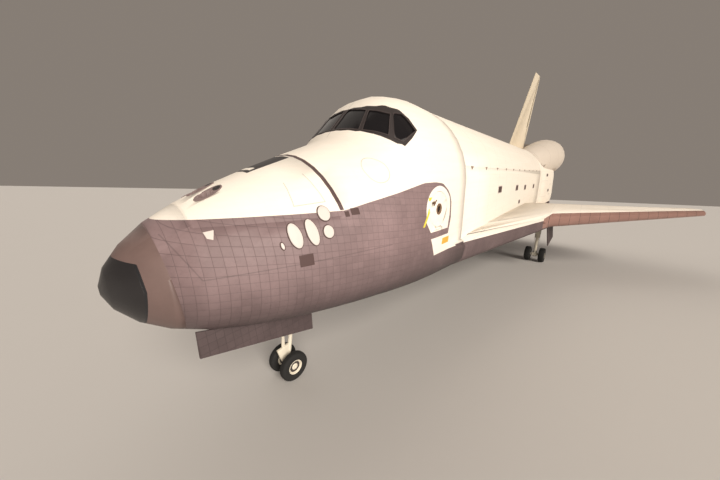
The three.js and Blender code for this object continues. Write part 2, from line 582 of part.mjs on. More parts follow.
// A leg: cylinder from the well's roof, piston to a collar round the wheels' sleeve
const collar = (c, t, grow) => axleBar(c, t.track * 0.16, t.radius * SLEEVE + grow);
const NOSE_TOP = V(0, 384, NOSE_WELL.top - SEAT);
const noseSplit = noseCentre.clone().lerp(NOSE_TOP, 0.34);
const noseWeb = hull([-1.2, 1.2].flatMap((x) => [
  V(x, 354, 211), V(x, 350, 226), V(x, 364, 228), V(x, 362, 211)]));
const noseFork = bar(noseCentre, noseSplit, 2.3, 2.3, 16)
  .add(collar(noseCentre, NOSE_TYRE, 2.2)).add(noseWeb)
  .subtract(collar(noseCentre, { ...NOSE_TYRE, track: 60 }, PIN_PLAY));
add("nose_fork", largest(noseFork), METAL);
const upper = noseSplit.clone().addScaledVector(NOSE_TOP.clone().sub(noseSplit).normalize(), SEAT);
const trunnion = bar(V(-24.9, 383, 318), V(24.9, 383, 318), 3, 3, 12);
add("nose_strut", bar(upper, NOSE_TOP, 4, 4, 16).add(trunnion)
  .intersect(box(-30, 30, 200, 500, 200, NOSE_WELL.top - SEAT)), METAL);
const legPoint = noseSplit.clone().lerp(NOSE_TOP, 0.45);
add("nose_brace", bar(legPoint, V(0, 300, NOSE_WELL.top - SEAT - 2.2), 2, 2, 12)
  .subtract(bar(upper, NOSE_TOP, 4 + SEAT * 2, 4 + SEAT * 2, 16)), METAL);
const MAIN_TOP = V(MAIN_AXLE.x, MAIN_AXLE.y + 4, MAIN_WELL.top - SEAT);
const mainSplit = mainCentre.clone().lerp(MAIN_TOP, 0.36);
const mainLeg = bar(mainCentre, mainSplit, 4, 4, 16).add(collar(mainCentre, MAIN_TYRE, 3))
  .add(bar(mainSplit, MAIN_TOP, 6.5, 6.5, 16))
  .subtract(collar(mainCentre, { ...MAIN_TYRE, track: 130 }, PIN_PLAY))
  .intersect(box(0, 300, 1000, 1300, 100, MAIN_WELL.top - SEAT));
add("main_strut_port", largest(mainLeg), METAL);
add("main_strut_starboard", mirror(largest(mainLeg)), METAL);
const mainGrip = mainCentre.clone().lerp(MAIN_TOP, 0.6);
const braceFoot = V(MAIN_AXLE.x, 1085, MAIN_WELL.top - 3);
const mainBrace = bar(V(mainGrip.x, mainGrip.y - 7, mainGrip.z), braceFoot, 3, 3, 12)
  .subtract(bar(mainSplit, MAIN_TOP, 6.5 + SEAT * 2, 6.5 + SEAT * 2, 16));
add("main_brace_port", mainBrace, METAL);
add("main_brace_starboard", mirror(mainBrace), METAL);

// Gear doors hang open beside their wells
const noseDoor = hull([0, 1.6].flatMap((t) => [
  V(26.5 + t, 276, 300), V(26.5 + t, 378, 272), V(29.5 + t, 376, 254), V(29.5 + t, 275, 280)]));
const noseDoorFit = largest(noseDoor.subtract(fuselage(236, CABIN_END, -SEAT)));
add("nose_door_port", noseDoorFit, BLACK);
add("nose_door_starboard", mirror(noseDoorFit), BLACK);
const wingGrown = loft(WING.map(([span, nose, noseZ, thick, above, below, up, low, tail, tailZ]) => wingRing(
  [span, nose, noseZ, thick, above + SEAT, below - SEAT, up, low - SEAT, tail, tailZ])));
const mainDoor = largest(hull([0, 2.2].flatMap((t) => [
  V(164 + t, 1042, 276), V(164 + t, 1188, 276), V(171 + t, 1184, 222), V(171 + t, 1050, 222)]))
  .subtract(wingGrown));
add("main_door_port", mainDoor, BLACK);
add("main_door_starboard", mirror(mainDoor), BLACK);

// Assembly: scale to millimetres, pitch on the gear, stand on the ground at the middle of the length
const orbiter = new THREE.Group();
for (const { name, solid, colour, roughness, metalness } of pieces) {
  const finish = new THREE.MeshStandardMaterial({ color: colour, roughness, metalness });
  const mesh = new THREE.Mesh(toGeometry(solid), finish);
  mesh.name = name;
  orbiter.add(mesh);
}
orbiter.scale.setScalar(INCH);
orbiter.rotation.x = PITCH;
orbiter.updateMatrixWorld(true);
const reach = new THREE.Box3().setFromObject(orbiter, true);
orbiter.position.set(0, -(reach.min.y + reach.max.y) / 2, -reach.min.z);
const shuttle = new THREE.Group();
shuttle.add(orbiter);
export default shuttle;
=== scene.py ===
"""Space shuttle orbiter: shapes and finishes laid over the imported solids."""
import json
import math

import bmesh
import bpy
from bpy.props import FloatProperty, FloatVectorProperty, PointerProperty
from mathutils import Matrix, Vector


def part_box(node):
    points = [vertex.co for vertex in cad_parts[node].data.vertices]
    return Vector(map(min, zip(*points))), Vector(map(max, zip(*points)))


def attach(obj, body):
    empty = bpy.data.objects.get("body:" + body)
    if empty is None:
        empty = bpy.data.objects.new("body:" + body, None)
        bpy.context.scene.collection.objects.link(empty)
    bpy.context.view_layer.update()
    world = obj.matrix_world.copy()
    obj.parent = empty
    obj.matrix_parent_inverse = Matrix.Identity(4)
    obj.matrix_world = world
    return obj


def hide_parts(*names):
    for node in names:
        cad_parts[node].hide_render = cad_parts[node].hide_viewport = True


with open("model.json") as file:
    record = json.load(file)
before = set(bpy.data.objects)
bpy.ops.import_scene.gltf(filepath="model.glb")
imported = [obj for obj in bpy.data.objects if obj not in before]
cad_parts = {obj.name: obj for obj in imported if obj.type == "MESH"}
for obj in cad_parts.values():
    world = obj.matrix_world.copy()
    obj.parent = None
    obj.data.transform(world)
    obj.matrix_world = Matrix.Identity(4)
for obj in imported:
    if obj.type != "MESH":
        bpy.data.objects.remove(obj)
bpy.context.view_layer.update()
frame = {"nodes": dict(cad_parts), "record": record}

bl_info = {
    "name": "Space shuttle orbiter",
    "version": (1, 0, 0),
    "blender": (4, 5, 0),
    "location": "View3D > Sidebar > Orbiter",
    "description": "Builds the skins, tiles, glass, gear and stage of a winged orbiter",
    "category": "Object",
}

INCH = 0.0254
PITCH = math.radians(3.5)
TURN = Matrix.Rotation(PITCH, 4, "X")
NOSE_HUB = (362.0, 206.0)  # station and height of the nose axle, inches
MAIN_STATION = 1172.0
# The main tyres are 6.25 inches larger in radius than the nose tyres, and all of them stand on the floor
MAIN_HUB = NOSE_HUB[1] - (MAIN_STATION - NOSE_HUB[0]) * math.tan(PITCH) + 6.25 / math.cos(PITCH)


def station_origin():
    """Where station 0, height 0 lies in the row, found from the nose tyre."""
    low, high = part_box("nose_tyre_port")
    hub = Vector((0, (low[1] + high[1]) / 2, (low[2] + high[2]) / 2))
    return hub - (TURN @ Vector((0, NOSE_HUB[0] * INCH, NOSE_HUB[1] * INCH)))


ORIGIN = station_origin()
PLACE = Matrix.Translation(ORIGIN) @ TURN @ Matrix.Scale(INCH, 4)


def at(port, station, height):
    """A point given in station inches, in the row's metres."""
    return PLACE @ Vector((port, station, height))


# Sizes and colours a user would change
class SkinSettings(bpy.types.PropertyGroup):
    white: FloatVectorProperty(
        name="White tile", description="Colour of the white tile and blanket skin",
        subtype="COLOR", default=(0.87, 0.81, 0.725), min=0, max=1)
    black: FloatVectorProperty(
        name="Black tile", description="Colour of the dark tile skin",
        subtype="COLOR", default=(0.188, 0.128, 0.130), min=0, max=1)
    carbon: FloatVectorProperty(
        name="Carbon edge", description="Colour of the nose cap and wing leading edges",
        subtype="COLOR", default=(0.16, 0.105, 0.095), min=0, max=1)
    tile: FloatProperty(
        name="Tile width", description="Side of one tile", unit="LENGTH", default=6 * INCH, min=0.02)


class StageSettings(bpy.types.PropertyGroup):
    floor: FloatVectorProperty(
        name="Floor", description="Colour of the studio floor",
        subtype="COLOR", default=(0.68, 0.665, 0.65), min=0, max=1)
    lens: FloatProperty(
        name="Lens", description="Focal length of the camera on a 36 mm frame, in millimetres",
        default=12.5, min=5, max=100)


class Value:
    """A shader socket that can be used in Python expressions."""

    def __init__(self, shade, socket):
        self.shade = shade
        self.socket = socket

    def math(self, operation, *others, swap=False):
        args = [self, *others]
        if swap:
            args.reverse()
        return self.shade.node("ShaderNodeMath", {"operation": operation}, dict(enumerate(args)))

    def ramp_up(self, low, high):
        """0 below low, 1 above high, straight between."""
        return self.shade.node("ShaderNodeMapRange", {"clamp": True}, {
            "Value": self, "From Min": low, "From Max": high, "To Min": 0.0, "To Max": 1.0})


def value_method(operation, swap=False):
    """A method of Value that adds one Math node; swap puts its operands the other way round."""
    def apply(value, *others):
        return value.math(operation, *others, swap=swap)
    return apply


for method, operation in {
        "__add__": "ADD", "__sub__": "SUBTRACT", "__mul__": "MULTIPLY", "__truediv__": "DIVIDE",
        "__gt__": "GREATER_THAN", "__lt__": "LESS_THAN", "__or__": "MAXIMUM", "__and__": "MULTIPLY",
        "abs": "ABSOLUTE", "floor": "FLOOR", "fract": "FRACT", "root": "SQRT"}.items():
    setattr(Value, method, value_method(operation))
for method, operation in {
        "__radd__": "ADD", "__rsub__": "SUBTRACT", "__rmul__": "MULTIPLY", "__rtruediv__": "DIVIDE"}.items():
    setattr(Value, method, value_method(operation, swap=True))


class Shade:
    """Builds one material's nodes."""

    def __init__(self, name):
        self.material = bpy.data.materials.new(name)
        self.material.use_nodes = True
        self.tree = self.material.node_tree
        self.tree.nodes.clear()

    def node(self, kind, settings=None, inputs=None, output=0):
        made = self.tree.nodes.new(kind)
        for key, setting in (settings or {}).items():
            if key == "stops":
                self._stops(made.color_ramp, setting)
            else:
                setattr(made, key, setting)
        for key, given in (inputs or {}).items():
            socket = made.inputs[key]
            if isinstance(given, Value):
                self.tree.links.new(given.socket, socket)
            else:
                socket.default_value = given
        return Value(self, made.outputs[output]) if made.outputs else None

    @staticmethod
    def _stops(ramp, stops):
        while len(ramp.elements) < len(stops):
            ramp.elements.new(0.5)
        for element, (place, level) in zip(ramp.elements, stops):
            element.position = place
            element.color = level if isinstance(level, tuple) else (level, level, level, 1)

    def object_coords(self):
        return self.node("ShaderNodeTexCoord", output="Object")

    def stations(self):
        """Object coordinates turned into port, station and height in inches."""
        turned = self.node("ShaderNodeMapping", {"vector_type": "TEXTURE"}, {
            "Vector": self.object_coords(), "Location": ORIGIN, "Rotation": (PITCH, 0, 0),
            "Scale": (INCH, INCH, INCH)})
        parts = self.tree.nodes.new("ShaderNodeSeparateXYZ")
        self.tree.links.new(turned.socket, parts.inputs[0])
        return turned, *[Value(self, out) for out in parts.outputs]

    def noise(self, vector, scale, detail=3.0, roughness=0.55):
        return self.node("ShaderNodeTexNoise", None, {
            "Vector": vector, "Scale": scale, "Detail": detail, "Roughness": roughness})

    def polyline(self, value, points):
        """The height of a broken line over a value."""
        first, last = points[0][0], points[-1][0]
        low = min(p[1] for p in points)
        span = max(p[1] for p in points) - low or 1
        share = (value - first) / (last - first)
        stops = [((p[0] - first) / (last - first), (p[1] - low) / span) for p in points]
        level = self.node("ShaderNodeValToRGB", {"stops": stops}, {"Fac": share})
        return level * span + low

    def mix(self, factor, a, b):
        """Colour a where factor is 0, b where it is 1."""
        made = self.tree.nodes.new("ShaderNodeMix")
        made.data_type = "RGBA"
        for socket, given in ((made.inputs[0], factor), (made.inputs[6], a), (made.inputs[7], b)):
            if isinstance(given, Value):
                self.tree.links.new(given.socket, socket)
            elif isinstance(given, (int, float)):
                socket.default_value = given
            else:
                socket.default_value = (*given, 1)[:4]
        return Value(self, made.outputs[2])

    def bump(self, height, distance, strength=1.0):
        return self.node("ShaderNodeBump", None, {
            "Height": height, "Distance": distance, "Strength": strength})

    def finish(self, **sockets):
        """Principled surface with the given sockets; returns the material."""
        names = {"colour": "Base Color", "roughness": "Roughness", "metallic": "Metallic", "normal": "Normal",
                 "specular": "Specular IOR Level"}
        inputs = {}
        for key, given in sockets.items():
            if key == "colour" and not isinstance(given, Value):
                given = (*given, 1)[:4]
            inputs[names[key]] = given
        surface = self.node("ShaderNodeBsdfPrincipled", None, inputs)
        self.node("ShaderNodeOutputMaterial", None, {"Surface": surface})
        return self.material


# Lines of the paint scheme on the side, as (station, height) in inches
LINE_FRONT = [(236, 381), (268, 381), (385, 380), (432, 389), (480, 400)]
LINE_AFT = [(592, 319.5), (612, 311), (640, 305), (700, 300), (1310, 296), (1400, 300), (1545, 306)]
PORT_LINE = [*LINE_FRONT, (500, 400.5), (516, 399), (530, 390), (538, 376), (541, 362), (542, 318), *LINE_AFT]
STARBOARD_LINE = [*LINE_FRONT, (500, 399), (520, 385), (541, 352), (556, 322), *LINE_AFT]
# Front and aft edge of the dark band round the windows, as (port, station)
BAND_FRONT = [(0, 440.0), (15, 440.0), (35, 442.5), (52, 448.0), (66, 455.4), (74, 461.8), (77, 466),
              (81, 470)]
BAND_AFT = [(0, 467.5), (20, 469.5), (36, 474.5), (50, 482.5), (58, 489.5), (81, 494)]
# Aft edge of the thruster module, as (height, station)
MODULE_EDGE = [(376, 384), (382, 383), (425, 376.5), (440, 374.3)]
# White field round the hatch: centre as (station, height) and radius
FIELD_CENTRE = (507.5, 369.5)
FIELD_RADIUS = 27.0
# Middle of the hatch's window: port, station, height
HATCH_WINDOW = (102.4, 506, 371)
# Height of the payload bay's own axis, and the doors' hinge line as (port, height)
BAY_HEIGHT = 400.0
SILL = (102.1, 418.5)

# Covers on the nose's side: centre (station, height), half sizes, lean in degrees
COVERS = [((340, 365), (4.6, 9.2), 8), ((353, 366), (4.4, 10), 8), ((366, 379), (4.8, 5.6), 0),
          ((366, 365), (4.2, 5.0), 0), ((330, 359), (1.1, 2.5), 8)]
# Vents along the side: station, height, half length, half height
VENTS = [(768.5, 381, 12, 5.5), (926, 378, 12, 5.5), (1034, 375, 12, 5.5), (1180, 373, 12, 5.5),
         (977, 342, 9.5, 3.8), (1380, 405, 8, 4), (1420, 350, 8, 4)]


def frame_of(station, height, half, tall):
    """Corners of a rectangle."""
    return [(station - half, height - tall), (station + half, height - tall),
            (station + half, height + tall), (station - half, height + tall)]


# Corners of the patches, markers, plate and label on the side, as (station, height)
PATCHES = [frame_of(345, 346, 5.5, 4.5), frame_of(386, 377, 2, 2.2), frame_of(394, 378.5, 4, 2.8)]
MARKERS = [[(475, 354), (478, 354), (488, 372), (485, 373)], frame_of(489, 383, 3.6, 1.8)]
PLATE = [(288, 373), (294, 374), (292, 368), (289, 369)]
LABEL = frame_of(528, 331, 9, 4)
# Camera: its place in station inches, and the ways to its right and ahead
CAMERA_EYE = (221.5, 236.1, 407.4)
CAMERA_RIGHT = (0.752, 0.659, -0.011)
CAMERA_AHEAD = (-0.641, 0.727, -0.246)
# Sun lights: name, strength, angle in degrees, colour, the way to the light
SUNS = (("key_light", 2.7, 35, (1.0, 0.91, 0.80), (0.80, -0.34, 0.50)),
        ("fill_light", 1.0, 100, (1.0, 0.92, 0.84), (-0.8, 0.5, 0.45)))
# Soft box by the nose: its place and its aim in station inches, size in metres and strength
SOFT_PLACE = (700, 220, 520)
SOFT_AIM = (60, 440, 370)
SOFT_SIZE = 9.0
SOFT_POWER = 1900.0

# Shades that several finishes share: the painted belly shade, which stands for the shade under the hull, and
# the dark of seam lines; and the depth of tile joints in metres
PAINTED_BELLY_SHADE = (0.022, 0.017, 0.018)
LINE_BLACK = (0.030, 0.024, 0.024)
JOINT_DEPTH = 0.006
# Plain paints and metals: colour, roughness, metallic, grain
PAINTS = {
    "bay_felt": ((0.50, 0.52, 0.47), 0.8, 0.0, 4.0),
    "bay_metal": ((0.55, 0.53, 0.50), 0.4, 0.7, 6.0),
    "cabin_grey": ((0.24, 0.25, 0.25), 0.6, 0.0, 6.0),
    "cover_cream": ((0.62, 0.56, 0.52), 0.5, 0.0, 3.0),
    "dome_blanket": ((0.60, 0.56, 0.50), 0.75, 0.0, 4.0),
    "gear_chrome": ((0.70, 0.69, 0.67), 0.2, 1.0, 6.0),
    "gear_cream": ((0.74, 0.68, 0.56), 0.42, 0.0, 6.0),
    "gear_dark": ((0.05, 0.04, 0.036), 0.6, 0.0, 6.0),
    "hatch_bronze": ((0.16, 0.09, 0.05), 0.45, 0.0, 6.0),
    "hinge_brown": ((0.36, 0.28, 0.23), 0.5, 0.3, 6.0),
    "label_orange": ((0.70, 0.40, 0.05), 0.5, 0.0, 6.0),
    "marker_yellow": ((0.72, 0.60, 0.06), 0.5, 0.0, 6.0),
    "patch_brown": ((0.075, 0.040, 0.037), 0.7, 0.0, 6.0),
    "pipe_metal": ((0.42, 0.36, 0.30), 0.35, 0.9, 6.0),
    "scoop_mauve": ((0.21, 0.15, 0.145), 0.6, 0.0, 6.0),
    "shaft_steel": ((0.45, 0.44, 0.42), 0.35, 0.9, 6.0),
    # painted shade: near-black stand-in for the shaded holes of the nose thrusters
    "throat_painted_shade": ((0.020, 0.016, 0.016), 0.6, 0.0, 6.0),
    "tyre_rubber": ((0.012, 0.0115, 0.011), 0.85, 0.0, 6.0),
    "window_frame": ((0.045, 0.033, 0.032), 0.5, 0.0, 6.0),
}


def tinted(colour, share):
    """A colour times one share, or times a share for each channel."""
    shares = share if isinstance(share, tuple) else (share,) * 3
    return [c * part for c, part in zip(colour, shares)]


def mask_between(v, low, high):
    return (v > low) & (v < high)


def squared_reach(a, b, centre):
    """The square of the distance from a centre."""
    return (a - centre[0]) * (a - centre[0]) + (b - centre[1]) * (b - centre[1])


def ring(a, b, centre, radius, width):
    """Line of a circle."""
    reach = squared_reach(a, b, centre).root()
    return mask_between(reach, radius - width / 2, radius + width / 2)


def stroke(a, b, points, width):
    """A broken line drawn with straight strokes."""
    total = None
    for (a0, b0), (a1, b1) in zip(points, points[1:]):
        length = math.hypot(a1 - a0, b1 - b0)
        ua, ub = (a1 - a0) / length, (b1 - b0) / length
        along = (a - a0) * ua + (b - b0) * ub
        across = ((b - b0) * ua - (a - a0) * ub).abs()
        part = mask_between(along, -width / 2, length + width / 2) & (across < width / 2)
        total = total | part if total else part
    return total


def tile_lines(s, a, b, size, width):
    """Dark joints of a square tile grid, and a random number for each tile."""
    joint = None
    for v in (a, b):
        off = ((v / size).fract() - 0.5).abs()
        line = off.ramp_up(0.5 - width / size, 0.5)
        joint = joint | line if joint else line
    cell = s.node("ShaderNodeCombineXYZ", None, {0: (a / size).floor(), 1: (b / size).floor()})
    tone = s.node("ShaderNodeTexWhiteNoise", {"noise_dimensions": "2D"}, {"Vector": cell})
    return joint, tone


def black_tiles(s, where, a, b):
    """Colour and joints of the dark square tiles."""
    p = bpy.context.scene.orbiter_skin
    joint, tone = tile_lines(s, a, b, p.tile / INCH, 0.2)
    cloud = s.noise(where, 0.02, 4.0)
    fine = s.noise(where, 0.35, 5.0, 0.65)
    black = s.mix((tone * tone) * 0.3, p.black, [c * 1.4 + 0.01 for c in p.black])
    black = s.mix(cloud.ramp_up(0.45, 0.75) * 0.45, black, [c * 1.8 + 0.02 for c in p.black])
    black = s.mix(fine.ramp_up(0.5, 0.8) * 0.3, black, tinted(p.black, 0.6))
    return s.mix(joint * 0.65, black, tinted(p.black, 0.3)), joint, fine


def white_blanket(s, where, a, b, size=8.0):
    """Colour and quilting of the white felt and tile skin, with faint streaks."""
    p = bpy.context.scene.orbiter_skin
    stretched = s.node("ShaderNodeVectorMath", {"operation": "MULTIPLY"}, {0: where, 1: (0.05, 0.008, 0.2)})
    streak = s.noise(stretched, 1.0, 4.0)
    fine = s.noise(where, 0.3, 5.0, 0.65)
    quilt, tone = tile_lines(s, a, b, size, 0.14)
    white = s.mix(streak.ramp_up(0.35, 0.75) * 0.3, p.white, tinted(p.white, (0.9, 0.87, 0.81)))
    white = s.mix(tone * 0.06, white, tinted(p.white, 0.8))
    white = s.mix(quilt * 0.13, white, tinted(p.white, 0.7))
    return s.mix(fine.ramp_up(0.5, 0.8) * 0.13, white, tinted(p.white, 0.8)), quilt, fine


def blanket_bump(s, fine, quilt, seams):
    """Surface of the quilted blanket with its seams sunk in."""
    return s.bump(fine * 0.3 - quilt * 0.4 - seams, JOINT_DEPTH, 0.5)


def skin_finish(name):
    """White upper skin and black tiles below, split along the paint scheme's lines, with painted shade
    darkening the tiles towards the belly.
    """
    s = Shade(name)
    where, x, y, z = s.stations()
    span = x.abs()
    side = (x > 0.0) & (span > 55.0)
    line = s.polyline(y, PORT_LINE) * (x > 0.0) + s.polyline(y, STARBOARD_LINE) * (x < 0.0)
    dark = z < line
    field = (((squared_reach(y, z, FIELD_CENTRE) < FIELD_RADIUS ** 2) | (z < FIELD_CENTRE[1]))
             & mask_between(y, FIELD_CENTRE[0] - FIELD_RADIUS, FIELD_CENTRE[0] + FIELD_RADIUS)
             & (z > 346.0) & ((y + z * 0.77) > 757.0) & ((y - z * 0.2) < 462.0))
    apron = mask_between(z, 317.0, 338.5) & ((y + z * 0.478) > 653.5) & (y < 560.0)
    tail = ((y - z * 0.3) > 432.3) & mask_between(z, 317.5, 363.0) & (y < 560.0)
    dark = dark & (1 - ((field | apron | tail) & side))
    # dark frame of the windows, dark panel and band of the thruster module
    band = ((y > s.polyline(span, BAND_FRONT)) & (y < s.polyline(span, BAND_AFT)) & (span < BAND_AFT[-1][0])
            & (z > 436.0) & ((z - y * 0.72) > 99.5))
    well = (span < (y - 334.0) * 0.12 + 13.0) & mask_between(y, 334.0, 372.0) & (z > 400.0)
    slot = (span < 9.5) & mask_between(y, 338.0, 343.0)
    edge = s.polyline(z, MODULE_EDGE)
    strip = mask_between(y - edge, -2.4, 1.2) & (z > 380.5)
    shadow = band | (well & (1 - slot))
    black, joint, _ = black_tiles(s, where, y, z + span * 0.3)
    # painted shade: the dark tiles are darkened towards the belly, where little light reaches
    black = s.mix((1 - z.ramp_up(280.0, 342.0)) * 0.85, black, PAINTED_BELLY_SHADE)
    white, quilt, fine = white_blanket(s, where, y, z)
    # joints between the frames, doors and access panels
    seams = mask_between(((y - 582.0) / 57.0).fract(), 0.0, 0.007) & (y > 581.0)
    seams = seams | stroke(y, z, [(348, 403), (346, 386), (371, 388), (366, 410)], 0.7) & (z < 412.0)
    seams = seams | ring(y, z, (430.0, 413.0), 11.5, 0.7) & (span > 40.0)
    seams = seams | mask_between(span, 0.0, 0.35) & (z > 450.0)
    for y0, z0, y1, z1 in ((1330, 330, 1400, 385), (1425, 335, 1470, 372)):
        seams = seams | stroke(y, z, [(y0, z0), (y0, z1), (y1, z1), (y1, z0), (y0, z0)], 0.9)
    white = s.mix(seams * 0.45, white, (0.22, 0.20, 0.18))
    level = mask_between(z, 343.4, 344.2) & mask_between(y, 281.0, 430.0)
    diagonal = stroke(y, z, [(268, 373), (281, 344)], 0.8) | level
    black = s.mix(diagonal * 0.3, black, LINE_BLACK)
    lining = (squared_reach(x, z, (0.0, BAY_HEIGHT)) < 8440.0) & mask_between(y, 583.0, 1306.0)
    colour = s.mix(dark, white, black)
    colour = s.mix(lining, colour, s.mix(quilt * 0.5, (0.55, 0.57, 0.52), (0.33, 0.35, 0.32)))
    colour = s.mix(strip, colour, (0.105, 0.066, 0.064))
    colour = s.mix(shadow, colour, s.mix(fine * 0.5, (0.018, 0.013, 0.013), (0.040, 0.028, 0.027)))
    height = fine * 0.3 - joint * dark * 1.0 - quilt * (1 - dark) * 0.35 - seams * 1.0
    return s.finish(colour=colour, roughness=0.6 - dark * 0.08 + fine * 0.12,
                    normal=s.bump(height, JOINT_DEPTH, 0.5))


def wing_finish(name):
    """White on top, dark tiles underneath, with joints between panels; the dark tiles carry painted shade."""
    s = Shade(name)
    where, x, y, z = s.stations()
    normal = s.node("ShaderNodeNewGeometry", output="Normal")
    up = s.node("ShaderNodeSeparateXYZ", None, {0: normal}, output=2)
    glove = (x.abs() < 173.0) & (y < 1012.0) & (z < 340.8 - y * 0.0405)
    dark = (up < -0.05) | glove
    black, joint, _ = black_tiles(s, where, y * 0.7 + x * 0.7, y * 0.7 - x * 0.7)
    # painted shade: the dark tiles under the wing are darkened towards the painted belly shade, as the
    # underside lies in shade
    black = s.mix(0.45, black, PAINTED_BELLY_SHADE)
    white, quilt, fine = white_blanket(s, where, y, x)
    seams = mask_between((x.abs() / 56.0).fract(), 0.0, 0.008) | mask_between((y / 74.0).fract(), 0.0, 0.006)
    white = s.mix(seams * 0.3, white, (0.3, 0.28, 0.26))
    height = fine * 0.3 - joint * dark - quilt * (1 - dark) * 0.35 - seams * 0.6
    return s.finish(colour=s.mix(dark, white, black), roughness=0.6 + fine * 0.1,
                    normal=s.bump(height, JOINT_DEPTH, 0.5))


def tile_finish(name, tint=1.0, grid="yx"):
    """Dark tiles all over, for the flap, base and doors; tint keeps that share of the tile colour and darkens
    the rest towards black, and the grid names the two ways that its joints run.
    """
    s = Shade(name)
    where, x, y, z = s.stations()
    ways = {"x": x, "y": y, "z": z}
    black, joint, fine = black_tiles(s, where, ways[grid[0]], ways[grid[1]])
    return s.finish(colour=s.mix(1.0 - tint, black, (0.0, 0.0, 0.0)), roughness=0.62 + fine * 0.12,
                    normal=s.bump(fine * 0.4 - joint, JOINT_DEPTH, 0.5))


def fin_finish(name):
    """White tiles with ribs' joints running along the fin's own sweep, a painted shadow along the rudder's
    gap, and painted shade that tints the whole fin tan.
    """
    s = Shade(name)
    where, _, y, z = s.stations()
    along = z * 0.825 + y * 0.566
    white, quilt, fine = white_blanket(s, where, z, y - z * 0.8, 6.0)
    seams = mask_between((along / 48.0).fract(), 0.0, 0.012) & (z > 505.0)
    white = s.mix(seams * 0.4, white, (0.28, 0.25, 0.22))
    # painted shadow: a dark line along the gap before the rudder, where shade falls
    hinge = mask_between(y - z * 0.686, 1096.0, 1101.5) & mask_between(along, 1302.0, 1690.0)
    white = s.mix(hinge * 0.9, white, (0.03, 0.026, 0.024))
    nose = (y - z * 0.9937) < 788.0
    white = s.mix(nose * 0.55, white, (0.42, 0.37, 0.31))
    # painted shade: the whole fin is tinted half way to tan, for the dimmer light on it
    white = s.mix(0.5, white, (0.72, 0.60, 0.40))
    return s.finish(colour=white, roughness=0.6 + fine * 0.1, normal=blanket_bump(s, fine, quilt, seams))


def pod_finish(name):
    """White blanket of the pods, with curved joints at stations, under painted shade that tints it tan."""
    s = Shade(name)
    where, x, y, z = s.stations()
    white, quilt, fine = white_blanket(s, where, y, z + x * 0.5)
    seams = mask_between(((y - 1316.0) / 58.0).fract(), 0.0, 0.014) & (y > 1316.0)
    # painted shade: the pod's white is tinted almost half way to tan, for the dimmer light on it
    white = s.mix(0.45, s.mix(seams * 0.5, white, (0.2, 0.18, 0.16)), (0.44, 0.36, 0.30))
    return s.finish(colour=white, roughness=0.58 + fine * 0.12, normal=blanket_bump(s, fine, quilt, seams))


def cap_finish(name):
    """Carbon nose cap: a light rim around a darker panel, with a fine joint between them."""
    p = bpy.context.scene.orbiter_skin
    s = Shade(name)
    where, _, y, z = s.stations()
    rim = s.polyline(z, [(300, 251), (320, 252.5), (340, 254.5), (357, 253.5), (360.5, 242), (372, 230)])
    inner = (y < rim) & (z < 360.0)
    lid = mask_between(z + y * 0.06, 373.9, 374.9) & (y < rim)
    joint = mask_between((y - rim).abs(), 0.0, 0.7) & (z < 360.5) | lid
    cloud = s.noise(where, 0.06, 4.0)
    fine = s.noise(where, 0.6, 5.0, 0.6)
    light = s.mix(cloud.ramp_up(0.35, 0.7) * 0.5, p.carbon, tinted(p.carbon, 0.72))
    deep = s.mix(cloud * 0.6, (0.018, 0.016, 0.017), (0.010, 0.009, 0.010))
    colour = s.mix(inner, light, deep)
    colour = s.mix(joint, colour, (0.012, 0.012, 0.014))
    return s.finish(colour=colour, roughness=0.42 + fine * 0.16 - inner * 0.1,
                    normal=s.bump(fine * 0.3 - joint, 0.004, 0.5))


def edge_finish(name):
    """Carbon leading edge of the wing in separate panels."""
    p = bpy.context.scene.orbiter_skin
    s = Shade(name)
    where, x, *_ = s.stations()
    span = x.abs()
    panels = (span - 188.0) / 18.7
    joint = mask_between(panels.fract(), 0.0, 0.03)
    cell = s.node("ShaderNodeTexWhiteNoise", {"noise_dimensions": "1D"}, {"W": panels.floor()})
    cloud = s.noise(where, 0.05, 4.0)
    fine = s.noise(where, 0.5, 5.0, 0.6)
    panel = tinted(p.carbon, (2.1, 1.8, 1.65))
    colour = s.mix(cloud.ramp_up(0.35, 0.7) * 0.5, panel, tinted(panel, 0.7))
    colour = s.mix(cell * 0.25, colour, tinted(panel, 0.75))
    colour = s.mix(joint, colour, (0.03, 0.027, 0.026))
    return s.finish(colour=colour, roughness=0.45 + fine * 0.15,
                    normal=s.bump(fine * 0.3 - joint, 0.005, 0.6))


def bell_finish(name, root, pitch):
    """Heat-tinted nozzle metal with fine cooling tubes around it."""
    s = Shade(name)
    where, x, y, z = s.stations()
    along = (y - root).ramp_up(0.0, 120.0)
    cloud = s.noise(where, 0.06, 4.0)
    tint = s.mix(along, (0.20, 0.17, 0.15), (0.46, 0.41, 0.36))
    tint = s.mix(cloud.ramp_up(0.4, 0.7) * 0.4, tint, (0.30, 0.24, 0.20))
    tubes = ((x / 1.3).fract() - 0.5).abs() + ((z / 1.3).fract() - 0.5).abs()
    return s.finish(colour=tint, metallic=0.85, roughness=0.34 + cloud * 0.16,
                    normal=s.bump(tubes * pitch, 0.004, 0.35))


def plain_finish(name):
    """One of the paints or metals, with mottling and a fine surface."""
    colour, roughness, metallic, grain = PAINTS[name]
    s = Shade(name)
    where = s.object_coords()
    cloud = s.noise(where, grain * 0.2, 3.0)
    fine = s.noise(where, grain * 8, 5.0, 0.6)
    tone = s.mix(cloud.ramp_up(0.35, 0.7) * 0.15, colour, tinted(colour, 0.6))
    return s.finish(colour=tone, roughness=fine * 0.2 + (roughness - 0.1), metallic=metallic,
                    normal=s.bump(fine, 0.0015, 0.4))


